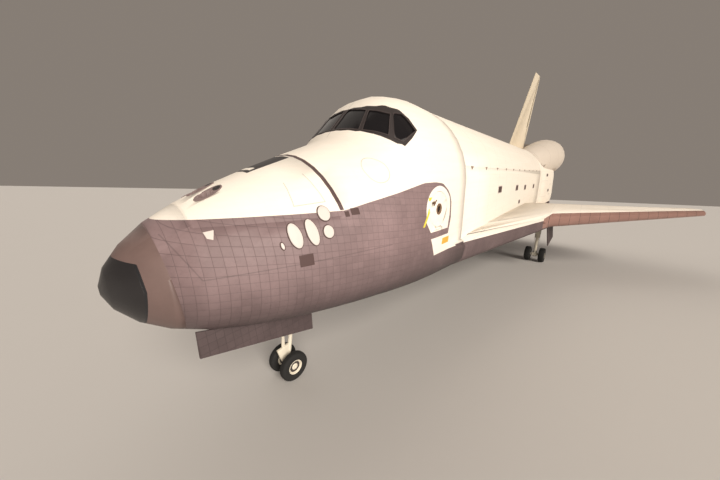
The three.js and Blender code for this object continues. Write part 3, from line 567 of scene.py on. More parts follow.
def radiator_finish():
    """Silver radiator face with the fine lines of its tubes."""
    s = Shade("radiator_silver")
    where, x, _, z = s.stations()
    tubes = ((z * 0.7 + x * 0.7) / 3.4).fract()
    line = mask_between(tubes, 0.0, 0.08)
    cloud = s.noise(where, 0.05, 3.0)
    colour = s.mix(cloud.ramp_up(0.4, 0.7) * 0.3, (0.66, 0.66, 0.64), (0.5, 0.5, 0.48))
    colour = s.mix(line * 0.5, colour, (0.3, 0.3, 0.29))
    return s.finish(colour=colour, metallic=0.75, roughness=cloud * 0.1 + 0.24,
                    normal=s.bump(line * -1.0, 0.004, 0.4))


def glass_finish():
    s = Shade("cabin_glass")
    cloud = s.noise(s.object_coords(), 1.5)
    colour = s.mix(cloud, (0.006, 0.006, 0.007), (0.014, 0.012, 0.013))
    return s.finish(colour=colour, roughness=0.2, specular=0.12)


def weld(mesh):
    """Join corners that lie in one place."""
    b = bmesh.new()
    b.from_mesh(mesh)
    bmesh.ops.remove_doubles(b, verts=b.verts, dist=1e-4)
    bmesh.ops.dissolve_degenerate(b, edges=b.edges, dist=1e-5)
    b.to_mesh(mesh)
    b.free()


def body_for(node):
    for body, nodes in frame["record"]["behaviour"]["bodies"].items():
        if node in nodes:
            return body
    raise KeyError(node)


def deselect():
    for other in bpy.context.selected_objects:
        other.select_set(False)


def pick(made):
    """Only this object selected and active."""
    deselect()
    made.select_set(True)
    bpy.context.view_layer.objects.active = made


# Edit-mode steps that are used in several places
SELECT_ALL = (bpy.ops.mesh.select_all, {"action": "SELECT"})
FLIP = (bpy.ops.mesh.flip_normals, {})
FACE_OUT = (bpy.ops.mesh.normals_make_consistent, {"inside": False})


def edit(made, *steps, test=None):
    """Edit-mode steps, each an operator with its settings, on all faces or on those that pass a test."""
    pick(made)
    bpy.ops.object.mode_set(mode="EDIT")
    bpy.ops.mesh.select_mode(type="FACE")
    bpy.ops.mesh.select_all(action="DESELECT" if test else "SELECT")
    if test:
        bpy.ops.object.mode_set(mode="OBJECT")
        for face in made.data.polygons:
            face.select = test(face)
        bpy.ops.object.mode_set(mode="EDIT")
    for operator, settings in steps:
        operator(**settings)
    bpy.ops.object.mode_set(mode="OBJECT")


def pull(value):
    """The step that pulls the selected faces out by a vector in metres."""
    return bpy.ops.mesh.extrude_region_move, {"TRANSFORM_OT_translate": {"value": value}}


def face_outwards(made, outward):
    """Turn the faces over if most of them look against a direction."""
    if sum((face.normal * face.area for face in made.data.polygons), Vector()).dot(outward) < 0:
        edit(made, FLIP)


def mirror(made):
    """Move a mesh to the other side."""
    made.data.transform(Matrix.Scale(-1, 4, (1, 0, 0)))
    edit(made, FLIP)


def modify(made, kind, **settings):
    """Add one modifier and apply it."""
    pick(made)
    modifier = made.modifiers.new(kind.lower(), kind)
    for key, setting in settings.items():
        setattr(modifier, key, setting)
    bpy.ops.object.modifier_apply(modifier=modifier.name)
    return made


def ease(made, width, segments=2, angle=35.0):
    """Round the edges that are sharper than an angle; the width is in inches."""
    return modify(made, "BEVEL", width=width * INCH, segments=segments, limit_method="ANGLE",
                  angle_limit=math.radians(angle))


def outline(name, points, fill="NOTHING"):
    """A circle whose corners are drawn out to the given points."""
    deselect()
    bpy.ops.mesh.primitive_circle_add(vertices=len(points), radius=1, fill_type=fill)
    made = bpy.context.object
    made.name = name
    for corner, point in zip(made.data.vertices, points):
        corner.co = point
    return made


def spun(name, profile, centre, direction, steps=48):
    """A closed outline of (along, radius) in inches, turned about a line through a centre."""
    direction = direction.normalized()
    across = direction.orthogonal().normalized()
    made = outline(name, [centre + (direction * h + across * r) * INCH for h, r in profile])
    turn = {"steps": steps, "angle": math.tau, "center": centre, "axis": direction}
    edit(made, (bpy.ops.mesh.spin, turn), SELECT_ALL, (bpy.ops.mesh.remove_doubles, {"threshold": 1e-4}),
         (bpy.ops.mesh.delete_loose, {}), SELECT_ALL, FACE_OUT)
    return made


def rod(name, start, end, radius, sides=20, bevel=0.25):
    """A round bar with eased ends; places and radius in station inches."""
    first, last = at(*start), at(*end)
    deselect()
    bpy.ops.mesh.primitive_cylinder_add(
        vertices=sides, radius=radius * INCH, depth=(last - first).length, location=(first + last) / 2,
        rotation=(last - first).to_track_quat("Z", "Y").to_euler())
    return ease(placed(name), bevel)


def block(name, low, high, bevel=0.3, inset=0.0):
    """A box in station inches, with eased edges and a sunk panel on its outer faces."""
    deselect()
    bpy.ops.mesh.primitive_cube_add(size=1)
    made = bpy.context.object
    made.name = name
    for corner in made.data.vertices:
        share = [c + 0.5 for c in corner.co]
        corner.co = at(*[a + (b - a) * s for a, b, s in zip(low, high, share)])
    if inset:
        edit(made, (bpy.ops.mesh.inset, {
            "thickness": inset * INCH, "depth": -inset * 0.5 * INCH, "use_individual": True}))
    return ease(made, bevel)


def place(made):
    """Put the object's place into its mesh."""
    pick(made)
    bpy.ops.object.transform_apply(location=True, rotation=True, scale=True)


def placed(name):
    """The primitive just added, with its place in its mesh."""
    made = bpy.context.object
    made.name = name
    place(made)
    return made


def done(made, body, material, angle=30.0):
    """Give a finished piece its material, smooth faces and body."""
    place(made)
    made.data.materials.clear()
    made.data.materials.append(material)
    bpy.ops.object.shade_smooth_by_angle(angle=math.radians(angle))
    made.select_set(False)
    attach(made, body)


def fix(material, *pieces):
    """Finish metal pieces that ride with the airframe."""
    for piece in pieces:
        done(piece, "airframe", material)


def stand_in(made, node, material, angle=40.0):
    """A finished piece takes the place of a solid."""
    done(made, body_for(node), material, angle)
    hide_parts(node)


def dress(node, material):
    """A smooth-shaded copy of a solid that stands for it."""
    source = frame["nodes"][node]
    mesh = source.data.copy()
    mesh.transform(source.matrix_world)
    weld(mesh)
    made = bpy.data.objects.new(node + "_skin", mesh)
    bpy.context.scene.collection.objects.link(made)
    stand_in(made, node, material, 35.0)
    return made


def copy_of(made, name, shift=(0, 0, 0), flip=False):
    """A copy with its own mesh, moved by station inches or mirrored to the other side."""
    twin = made.copy()
    twin.data = made.data.copy()
    twin.name = name
    bpy.context.scene.collection.objects.link(twin)
    twin.data.transform(Matrix.Translation(at(*shift) - at(0, 0, 0)))
    if flip:
        mirror(twin)
    return twin


def row_of(first, name, count, step):
    """A piece and its copies in a row along the stations; the name has a place for the number."""
    return [first, *(copy_of(first, name.format(i), (0, step * i, 0)) for i in range(1, count))]


def merge(name, made, *others):
    """Several modelled shapes as one piece."""
    pick(made)
    for other in others:
        other.select_set(True)
    bpy.ops.object.join()
    made.name = name
    return made


def oval(centre, radii, count=28, lean=0.0):
    """Corners of an ellipse as (station, height); lean turns it in degrees."""
    turn = math.radians(lean)
    corners = []
    for i in range(count):
        a = math.tau * i / count
        u, v = radii[0] * math.cos(a), radii[1] * math.sin(a)
        corners.append((centre[0] + u * math.cos(turn) - v * math.sin(turn),
                        centre[1] + u * math.sin(turn) + v * math.cos(turn)))
    return corners


def flank(side):
    return -1 if side == "starboard" else 1


def laid(name, corners, skin, side, thick, cuts=3, bevel=0.12, lift=-0.05):
    """A thin cover on the hull: its corners are (station, height) on a side, or (port, station) on top."""
    top = side == "top"
    way = flank(side)
    made = outline(name, [at(*p, 520) if top else at(way * 150, *p) for p in corners], "NGON")
    edit(made, (bpy.ops.mesh.poke, {}), (bpy.ops.mesh.subdivide, {"number_cuts": cuts}))
    modify(made, "SHRINKWRAP", wrap_method="PROJECT", target=skin, offset=lift * INCH,
           use_project_x=not top, use_project_z=top,
           use_negative_direction=way > 0, use_positive_direction=way < 0)
    face_outwards(made, Vector((0, 0, 1) if top else (way, 0, 0)))
    modify(made, "SOLIDIFY", thickness=thick * INCH, offset=1)
    return ease(made, bevel, angle=50.0)


BOTH = ("port", "starboard")


class ORBITER_OT_stage(bpy.types.Operator):
    """Set the camera, the studio light and the pale floor"""
    bl_idname = "orbiter.stage"
    bl_label = "Stage"

    def execute(self, context):
        settings = context.scene.orbiter_stage
        data = bpy.data.cameras.new("camera")
        data.sensor_width = 36
        data.lens = settings.lens
        data.clip_end = 2000
        camera = bpy.data.objects.new("camera", data)
        context.scene.collection.objects.link(camera)
        ahead = Vector(CAMERA_AHEAD).normalized()
        right = Vector(CAMERA_RIGHT)
        right = (right - ahead * right.dot(ahead)).normalized()
        turn = Matrix((right, right.cross(ahead), -ahead)).transposed().to_4x4()
        camera.matrix_world = Matrix.Translation(at(*CAMERA_EYE)) @ TURN @ turn
        context.scene.camera = camera

        s = Shade("studio_floor")
        cloud = s.noise(s.object_coords(), 0.3)
        colour = s.mix(cloud * 0.15, settings.floor, tinted(settings.floor, 0.9))
        material = s.finish(colour=colour, roughness=0.85)
        bpy.ops.mesh.primitive_plane_add(size=600, location=(0, 0, 0))
        floor = context.object
        floor.name = "studio_floor"
        floor.data.materials.append(material)

        world = bpy.data.worlds.new("studio")
        context.scene.world = world
        world.use_nodes = True
        back = world.node_tree.nodes["Background"]
        back.inputs["Color"].default_value = (1.0, 0.86, 0.74, 1)
        back.inputs["Strength"].default_value = 0.24
        context.scene.view_settings.view_transform = "Standard"
        for name, strength, angle, colour, towards in SUNS:
            sun = bpy.data.lights.new(name, "SUN")
            sun.energy = strength
            sun.angle = math.radians(angle)
            sun.color = colour
            lamp = bpy.data.objects.new(name, sun)
            lamp.rotation_euler = Vector(towards).to_track_quat("Z", "Y").to_euler()
            context.scene.collection.objects.link(lamp)
        soft = bpy.data.lights.new("soft_box", "AREA")
        soft.size = SOFT_SIZE
        soft.energy = SOFT_POWER
        soft.color = (1.0, 0.955, 0.90)
        lamp = bpy.data.objects.new("soft_box", soft)
        spot = at(*SOFT_PLACE)
        turn = (spot - at(*SOFT_AIM)).to_track_quat("Z", "Y").to_matrix().to_4x4()
        lamp.matrix_world = Matrix.Translation(spot) @ turn
        context.scene.collection.objects.link(lamp)
        # the soft box stands near the nose, so it leaves the floor out to keep it even
        unlit = bpy.data.collections.new("soft_box_unlit")
        unlit.objects.link(floor)
        lamp.light_linking.receiver_collection = unlit
        unlit.collection_objects[0].light_linking.link_state = "EXCLUDE"
        return {"FINISHED"}


class ORBITER_OT_fuselage(bpy.types.Operator):
    """Skin the nose, cabin, middle and aft fuselage"""
    bl_idname = "orbiter.fuselage"
    bl_label = "Fuselage"

    def execute(self, context):
        skin = skin_finish("fuselage_skin")
        for node in ("thruster_module", "forward_fuselage", "mid_fuselage", "aft_fuselage",
                     "bay_door_port", "bay_door_starboard", "side_hatch"):
            dress(node, skin)
        dress("nose_cap", cap_finish("nose_carbon"))
        return {"FINISHED"}


class ORBITER_OT_wings(bpy.types.Operator):
    """Skin the wings, leading edges, elevons, fin and rudder"""
    bl_idname = "orbiter.wings"
    bl_label = "Wings and fin"

    def execute(self, context):
        skin = wing_finish("wing_skin")
        white = fin_finish("fin_skin")
        pod = pod_finish("pod_skin")
        carbon = edge_finish("edge_carbon")
        for side in BOTH:
            for node in ("wing_", "elevon_inner_", "elevon_outer_"):
                dress(node + side, skin)
            dress("leading_edge_" + side, carbon)
            dress("rudder_" + side, white)
            dress("manoeuvring_pod_" + side, pod)
        dress("fin", white)
        return {"FINISHED"}


# Main engines: node, root in station inches, yaw and pitch in degrees
ENGINES = (("engine_top", (0, 1445, 443), 0, 16), ("engine_port", (53, 1468, 342.6), 3.5, 10),
           ("engine_starboard", (-53, 1468, 342.6), -3.5, 10))
# Outer outlines of the bells, as (distance along, radius) in inches
MAIN_BELL = ((62, 14), (66, 20), (76, 28), (95, 36), (120, 42.5), (145, 46), (168, 47.5))
POD_BELL = ((0, 8), (3, 10), (10, 15), (24, 20), (40, 23), (50, 24))


def bell_way(yaw, pitch):
    """The direction that a bell points in, from its yaw and pitch in degrees."""
    a, b = math.radians(yaw), math.radians(pitch)
    way = Vector((math.sin(a) * math.cos(b), math.cos(a) * math.cos(b), math.sin(b)))
    return (TURN @ way).normalized()


def eased_radius(points, along):
    """Radius at a place along a bell, on a smooth line through its points."""
    for k in range(len(points) - 1):
        (h0, r0), (h1, r1) = points[k], points[k + 1]
        if along <= h1:
            before, after = points[max(k - 1, 0)], points[min(k + 2, len(points) - 1)]
            t = (along - h0) / (h1 - h0)
            m0 = (r1 - before[1]) / (h1 - before[0]) * (h1 - h0)
            m1 = (after[1] - r0) / (after[0] - h0) * (h1 - h0)
            return ((2 * t ** 3 - 3 * t * t + 1) * r0 + (t ** 3 - 2 * t * t + t) * m0
                    + (3 * t * t - 2 * t ** 3) * r1 + (t ** 3 - t * t) * m1)
    return points[-1][1]


def bell(name, points, wall, bands, root, yaw, pitch, steps):
    """An open bell with raised bands round it and a rolled lip."""
    low, high = points[0][0], points[-1][0]
    outside = []
    for i in range(19):
        h = low + (high - low) * i / 18
        outside.append((h, eased_radius(points, h)))
    for h in bands:
        r = eased_radius(points, h)
        width, proud = (high - low) * 0.007, wall * 0.55
        outside += [(h - width * 1.4, r), (h - width, r + proud),
                    (h + width, r + proud), (h + width * 1.4, r)]
    outside.sort()
    end = points[-1][1]
    lip = [(high + wall * 0.2, end + wall * 0.35), (high + wall * 0.45, end - wall * 0.3), (high, end - wall)]
    floor, narrow = points[1]
    inside = [(h, r - wall) for h, r in reversed(outside[1:-1]) if h > floor
              and abs(r - eased_radius(points, h)) < 0.01]
    profile = [(low, 0.0), *outside, *lip, *inside, (floor, narrow - wall), (floor, 0.0)]
    return spun(name + "_skin", profile, at(*root), bell_way(yaw, pitch), steps)


def engine(node, root, yaw, pitch, metal, pipe, blanket):
    """A main engine: bell, ring pipe at the throat, ring at the lip, drain lines and a padded dome ring."""
    bands = (82, 92, 103, 115, 128, 141, 153)
    stand_in(bell(node, MAIN_BELL, 1.6, bands, root, yaw, pitch, 96), node, metal)
    way, centre = bell_way(yaw, pitch), at(*root)
    for part, along, radius, thick in (("throat_ring", 72, 27, 3.2), ("middle_ring", 98, 38.2, 1.3),
                                       ("lip_ring", 164, 48.0, 1.3)):
        profile = [(along + thick * math.cos(a), radius + thick * math.sin(a))
                   for a in (math.tau * i / 12 for i in range(12))]
        done(spun(f"{node}_{part}", profile, centre, way, 72), "airframe", pipe, 60.0)
    dome = [(57, 22), (57, 41), (60.5, 43), (64, 40), (66, 32), (64, 22)]
    done(ease(spun(node + "_dome_ring", dome, centre, way), 0.4), "airframe", blanket, angle=40.0)
    across = way.orthogonal().normalized()
    for i in range(6):
        turn = Matrix.Rotation(math.tau * (i + 0.5) / 6, 3, way)
        points = []
        for along in (74, 90, 110, 130, 150, 163):
            out = eased_radius(MAIN_BELL, along) + 1.2
            spot = centre + (way * along + turn @ across * out) * INCH
            points.append(PLACE.inverted() @ spot)
        tube(f"{node}_drain_{i}", points, 0.55, pipe)


def rear_thrusters(side, metal):
    """Small nozzles on the aft end of a pod, pointing out and back."""
    way = flank(side)
    aim = TURN @ Vector((0.3 * way, 1, 0))
    profile = [(0, 0.0), (0, 2.0), (3, 3.0), (6, 3.9), (6.3, 3.6), (6, 3.4), (3, 2.6), (1, 1.6), (1, 0.0)]
    for i in range(3):
        for j, x in enumerate((117, 128)):
            centre = at(x * way, 1547, 446 + i * 11)
            nozzle = spun(f"rear_thruster_{i}_{j}_{side}", profile, centre, aim, 20)
            done(nozzle, "airframe", metal, 40.0)


class ORBITER_OT_engines(bpy.types.Operator):
    """Turn the banded engine bells and finish the base shield and body flap"""
    bl_idname = "orbiter.engines"
    bl_label = "Engines"

    def execute(self, context):
        metal = bell_finish("bell_metal", 1510.0, 1.0)
        small = bell_finish("small_bell_metal", 1550.0, 0.6)
        pipe, blanket = map(plain_finish, ("pipe_metal", "dome_blanket"))
        for node, root, yaw, pitch in ENGINES:
            engine(node, root, yaw, pitch, metal, pipe, blanket)
        for side in BOTH:
            node = "manoeuvring_nozzle_" + side
            root = (90 * flank(side), 1548, 488)
            stand_in(bell(node, POD_BELL, 1.2, (12, 30, 46), root, 6 * flank(side), 8, 56), node, small)
            rear_thrusters(side, small)
        ease(dress("base_shield", tile_finish("base_tiles", 0.75, "xz")), 0.8)
        ease(dress("body_flap", tile_finish("flap_tiles")), 0.5)
        return {"FINISHED"}


AXLE = Vector((1, 0, 0))


def tyre_size(node):
    """Centre in metres, and radius and half width in inches, of a tyre's solid."""
    low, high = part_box(node)
    return (Vector(low) + Vector(high)) / 2, (high[2] - low[2]) / 2 / INCH, (high[0] - low[0]) / 2 / INCH


def tyre(node, rubber):
    """A tyre with four grooves round its tread and a bead against the rim."""
    centre, radius, half = tyre_size(node)
    tread = []
    for groove in (-0.48, -0.16, 0.16, 0.48):
        crown = radius * (1.0 - 0.05 * groove * groove)
        tread += [(groove - 0.035, crown), (groove - 0.02, crown - radius * 0.02),
                  (groove + 0.02, crown - radius * 0.02), (groove + 0.035, crown)]
    wall = [(0.72, 0.965), (0.86, 0.925), (0.95, 0.86), (1.0, 0.77), (0.985, 0.68), (0.93, 0.60),
            (0.86, 0.545), (0.83, 0.515)]
    right = [(half * h, radius * r) for h, r in wall]
    profile = [(half * h, r) for h, r in tread] + right + [(-h, r) for h, r in reversed(right)]
    stand_in(spun(node + "_skin", profile, centre, AXLE, 64), node, rubber)


# Outlines of a wheel, of the web in its dish and of its brake drum, as shares of (half width, radius)
WHEEL = ((-0.80, 0.0), (-0.80, 0.92), (-0.84, 1.0), (0.84, 1.0), (0.86, 0.96), (0.80, 0.90), (0.52, 0.84),
         (0.40, 0.76), (0.42, 0.46), (0.56, 0.38), (0.60, 0.26), (0.82, 0.22), (0.88, 0.14), (0.88, 0.0))
WEB = ((0.36, 0.44), (0.47, 0.44), (0.47, 0.52), (0.44, 0.54), (0.44, 0.68), (0.46, 0.70), (0.46, 0.76),
       (0.36, 0.76))
DRUM = ((-0.79, 0.2), (-0.79, 0.8), (-0.98, 0.72), (-0.98, 0.2))
# A wheel's radius as a share of its tyre's, the steps that it is turned in and its number of bolts
WHEEL_SHARE = 0.497
WHEEL_STEPS = 54
BOLTS = 12


def wheel(name, centre, radius, half, out):
    """One dished wheel with lightening pockets; out is the way that its dish looks."""
    made = spun(name, [(h * half * out, r * radius) for h, r in WHEEL], centre, AXLE, WHEEL_STEPS)

    def pocket(face):
        reach = face.center - centre
        step = math.degrees(math.atan2(reach.z, reach.y)) / (360 / WHEEL_STEPS) + 60.5
        return (0.5 < reach.yz.length / (radius * INCH) < 0.72 and reach.x * out > 0.3 * half * INCH
                and int(round(step)) % 6 < 4)

    edit(made, (bpy.ops.mesh.inset, {"thickness": 0.05 * radius * INCH}),
         pull((-0.3 * half * out * INCH, 0, 0)), test=pocket)
    return made


def wheel_pair(node, tyre_a, tyre_b, paint, shade):
    """Two wheels with bolts on one sleeve, and their webs and brake drums."""
    body = body_for(node)
    (first, *_), (second, radius, half) = tyre_size(tyre_a), tyre_size(tyre_b)
    radius *= WHEEL_SHARE
    middle = (first + second) / 2
    parts = []
    for i, centre in enumerate((first, second)):
        out = 1 if centre.x > middle.x else -1
        parts.append(wheel(f"{node}_{i}", centre, radius, half, out))
        for k in range(BOLTS):
            a = math.tau * (k + 0.5) / BOLTS
            reach = Vector((0.44 * half * out, math.cos(a) * 0.8 * radius, math.sin(a) * 0.8 * radius))
            deselect()
            bpy.ops.mesh.primitive_cylinder_add(
                vertices=6, radius=0.045 * radius * INCH, depth=0.28 * half * INCH,
                location=centre + reach * INCH, rotation=(0, math.pi / 2, 0))
            parts.append(ease(placed(f"{node}_bolt_{i}_{k}"), 0.05))
    end = 0.9 * (first - middle).length / INCH
    sleeve = [(-end, 0.0), (-end, 0.32 * radius), (end, 0.32 * radius), (end, 0.0)]
    parts.append(spun(node + "_sleeve", sleeve, middle, AXLE, 32))
    stand_in(merge(node + "_skin", *parts), node, paint, 35.0)
    for i, centre in enumerate((first, second)):
        out = 1 if centre.x > middle.x else -1
        web = spun(f"{node}_web_{i}", [(h * half * out, r * radius) for h, r in WEB], centre, AXLE)
        done(web, body, shade)
        drum = spun(f"{node}_brake_{i}", [(h * half * out, r * radius) for h, r in DRUM], centre, AXLE, 40)
        done(ease(drum, 0.2), body, shade)


def collar(name, foot, head, share, radius, length, swell=0.7):
    """A ring with a groove round a leg."""
    a, b = at(*foot), at(*head)
    profile = [(-length / 2, radius), (-length / 2, radius + swell), (-length * 0.15, radius + swell),
               (-length * 0.1, radius + swell * 0.6), (length * 0.1, radius + swell * 0.6),
               (length * 0.15, radius + swell), (length / 2, radius + swell), (length / 2, radius)]
    return ease(spun(name, profile, a.lerp(b, share), b - a, 32), 0.1)


def link(name, start, end, width, thick, port):
    """A flat tapering link with eased edges, between two (station, height) points at one port place."""
    (y0, z0), (y1, z1) = start, end
    length = math.hypot(y1 - y0, z1 - z0)
    ny, nz = -(z1 - z0) / length, (y1 - y0) / length
    corners = []
    for (y, z), w in (((y0, z0), width), ((y1, z1), width * 0.55)):
        corners += [(y + ny * w, z + nz * w), (y - ny * w, z - nz * w)]
    order = [corners[0], corners[1], corners[3], corners[2]]
    made = outline(name, [at(port - thick / 2, *p) for p in order], "NGON")
    edit(made, pull((thick * INCH, 0, 0)), SELECT_ALL, FACE_OUT)
    return ease(made, 0.2)


def tube(name, points, radius, material):
    """A pipe along a smooth line through points in station inches."""
    curve = bpy.data.curves.new(name, "CURVE")
    curve.dimensions = "3D"
    curve.bevel_depth = radius * INCH
    curve.bevel_resolution = 3
    curve.use_fill_caps = True
    line = curve.splines.new("BEZIER")
    line.bezier_points.add(len(points) - 1)
    for knot, point in zip(line.bezier_points, points):
        knot.co = at(*point)
        knot.handle_left_type = knot.handle_right_type = "AUTO"
    made = bpy.data.objects.new(name, curve)
    bpy.context.scene.collection.objects.link(made)
    pick(made)
    bpy.ops.object.convert(target="MESH")
    done(bpy.context.object, "airframe", material, 50.0)


def nose_leg(paint, chrome):
    """Collars, torque link, steering unit and hoses of the nose leg."""
    foot, head = (0, 362, 206), (0, 384, 326)
    fix(paint, collar("nose_collar_low", foot, head, 0.36, 4.0, 5),
        collar("nose_collar_mid", foot, head, 0.52, 4.0, 3),
        collar("nose_collar_top", foot, head, 0.78, 4.0, 6),
        rod("nose_steering", (-9, 376, 262), (9, 376, 262), 2.2),
        link("nose_link_upper", (377, 262), (358, 246), 2.6, 2.0, 0),
        rod("nose_link_pin", (-3, 358.5, 245.5), (3, 358.5, 245.5), 1.1))
    done(link("nose_link_lower", (357, 214), (358.5, 243), 2.4, 1.6, 0), "nose_fork", paint)
    for side in BOTH:
        x = 5.2 * flank(side)
        tube(f"nose_hose_{side}", [(x, 384, 318), (x * 1.1, 380, 295), (x, 374, 270), (x * 0.7, 371, 250)],
             0.5, chrome)


def main_leg(side, paint, chrome):
    """Collars, torque link and brake hoses of a main leg."""
    x = 136 * flank(side)
    foot, head = (x, MAIN_STATION, MAIN_HUB), (x, 1176, 310)
    fix(paint, collar(f"main_collar_low_{side}", foot, head, 0.38, 6.5, 5),
        collar(f"main_collar_mid_{side}", foot, head, 0.6, 6.5, 4),
        collar(f"main_collar_top_{side}", foot, head, 0.85, 6.5, 7),
        link(f"main_link_upper_{side}", (1180, 226), (1192, 206), 3.2, 2.4, x),
        link(f"main_link_lower_{side}", (1178, MAIN_HUB + 8), (1192, 204), 3.2, 2.0, x),
        rod(f"main_link_pin_{side}", (x - 3.4, 1192, 205), (x + 3.4, 1192, 205), 1.3))
    for i, shift in enumerate((-7.6, 7.6)):
        points = [(x + shift, 1174, 305), (x + shift, 1170, 262), (x + shift * 0.9, 1171, 225),
                  (x + shift * 0.7, 1170, 190)]
        tube(f"main_hose_{i}_{side}", points, 0.6, chrome)


def door_ribs(kind, side, stations, ends, slope, material):
    """Stiffening ribs on the inner face of a hanging gear door; ends are (port, height) at the first rib."""
    way = flank(side)
    (x0, z0), (x1, z1) = ends
    for i, y in enumerate(stations):
        fall = (y - stations[0]) * slope
        start, end = (x0 * way, y, z0 + fall), (x1 * way, y, z1 + fall)
        fix(material, rod(f"{kind}_door_rib_{i}_{side}", start, end, 0.8, 12))


class ORBITER_OT_gear(bpy.types.Operator):
    """Turn the tyres and hubs, build the legs' fittings and finish the gear doors"""
    bl_idname = "orbiter.gear"
    bl_label = "Landing gear"

    def execute(self, context):
        cream, chrome, rubber, brown, steel = map(
            plain_finish, ("gear_cream", "gear_chrome", "tyre_rubber", "gear_dark", "shaft_steel"))
        # painted shade: the hanging gear doors' tiles are darkened two thirds of the way to black, as they
        # hang in shade under the hull
        dark = tile_finish("door_tiles_painted_shade", 0.35, "yz")
        dress("rudder_shaft", steel)
        for node in frame["nodes"]:
            if "tyre" in node:
                tyre(node, rubber)
            elif "strut" in node or "brace" in node or "fork" in node:
                ease(dress(node, cream), 0.25)
            elif node.startswith(("nose_door", "main_door")):
                ease(dress(node, dark), 0.4)
        wheel_pair("nose_hubs", "nose_tyre_port", "nose_tyre_starboard", cream, brown)
        nose_leg(cream, chrome)
        for side in BOTH:
            nodes = [f"main_{part}_{side}" for part in ("hubs", "tyre_outer", "tyre_inner")]
            wheel_pair(*nodes, cream, brown)
            main_leg(side, cream, chrome)
            door_ribs("nose", side, (288, 312, 336, 360), ((26.2, 292.5), (28.6, 279.5)), -0.27, brown)
            door_ribs("main", side, (1060, 1090, 1120, 1150, 1175), ((163.8, 272), (170.0, 227)), 0.0, brown)
        return {"FINISHED"}


# Corners of the port window panes on the skin, as (port, station, height)
PANES = {
    "front": ((2.5, 442, 458), (37, 445.5, 454.5), (30, 466, 477.5), (2.5, 466, 482)),
    "middle": ((41, 447, 454), (64, 460, 447), (55, 475, 471), (33, 467, 477)),
    "side": ((69, 463, 446), (76, 469, 442), (78, 490, 454), (62, 487, 472), (58, 477, 472)),
}


class ORBITER_OT_cabin(bpy.types.Operator):
    """Finish the windows with their frames, the flight deck and the hatch's ring"""
    bl_idname = "orbiter.cabin"
    bl_label = "Cabin"

    def execute(self, context):
        glass = glass_finish()
        grey, gasket, bronze = map(plain_finish, ("cabin_grey", "window_frame", "hatch_bronze"))
        for node in frame["nodes"]:
            if node.startswith("window"):
                dress(node, glass)
            elif node in ("flight_deck", "bay_bulkhead_front", "bay_bulkhead_aft"):
                ease(dress(node, grey), 0.4)
        for side in BOTH:
            for pane, corners in PANES.items():
                window_frame(f"frame_{pane}_{side}", corners, side, gasket)
        hatch_window(bronze, glass)
        return {"FINISHED"}


def window_frame(name, corners, side, material):
    """A thin raised frame round a pane."""
    corners = [Vector(c) for c in corners]
    middle = sum(corners, Vector()) / len(corners)
    facing = (corners[2] - corners[0]).cross(corners[-1] - corners[1]).normalized()
    points = [at(*(c + facing * 3 + (c - middle).normalized() * 1.9)) for c in corners]
    made = outline(name, points, "NGON")
    edit(made, (bpy.ops.mesh.inset, {"thickness": 1.2 * INCH}), (bpy.ops.mesh.delete, {"type": "FACE"}),
         SELECT_ALL, (bpy.ops.mesh.subdivide, {"number_cuts": 5}))
    if not made.data.polygons:
        raise RuntimeError(name + " has no faces")
    modify(made, "SHRINKWRAP", wrap_method="NEAREST_SURFACEPOINT",
           target=bpy.data.objects["forward_fuselage_skin"], offset=0.1 * INCH)
    face_outwards(made, at(*(middle + facing)) - at(*middle))
    modify(made, "SOLIDIFY", thickness=0.6 * INCH, offset=0)
    if side == "starboard":
        mirror(made)
    done(ease(made, 0.1, angle=50.0), "airframe", material)


def hatch_window(ring_paint, glass):
    """The hatch's round window with its stepped ring, and the hatch's handle."""
    centre = at(*HATCH_WINDOW)
    steps = [(-1.5, 3.4), (-1.5, 6.4), (0.6, 6.4), (0.9, 6.0), (0.9, 5.0), (0.5, 4.6), (0.5, 4.0), (0.1, 3.4)]
    done(ease(spun("hatch_ring", steps, centre, AXLE, 40), 0.08), "side_hatch", ring_paint)
    dome = [(-1.4, 0.0), (-1.4, 3.6), (-0.6, 3.6), (-0.3, 2.4), (-0.2, 0.0)]
    done(spun("hatch_pane", dome, centre, AXLE, 32), "side_hatch", glass, 60.0)
    handle = merge("hatch_handle", rod("handle_boss", (102, 492, 379), (104.4, 492, 379), 1.6),
                   rod("handle_bar", (104.2, 489, 376), (104.2, 495, 382), 0.6, 12))
    done(handle, "side_hatch", ring_paint)


def bay_arc(wide, tall, degrees):
    """Points as (port, height) on an oval round the bay's own axis."""
    angles = [math.radians(a) for a in degrees]
    return [(wide * math.cos(a), BAY_HEIGHT + tall * math.sin(a)) for a in angles]


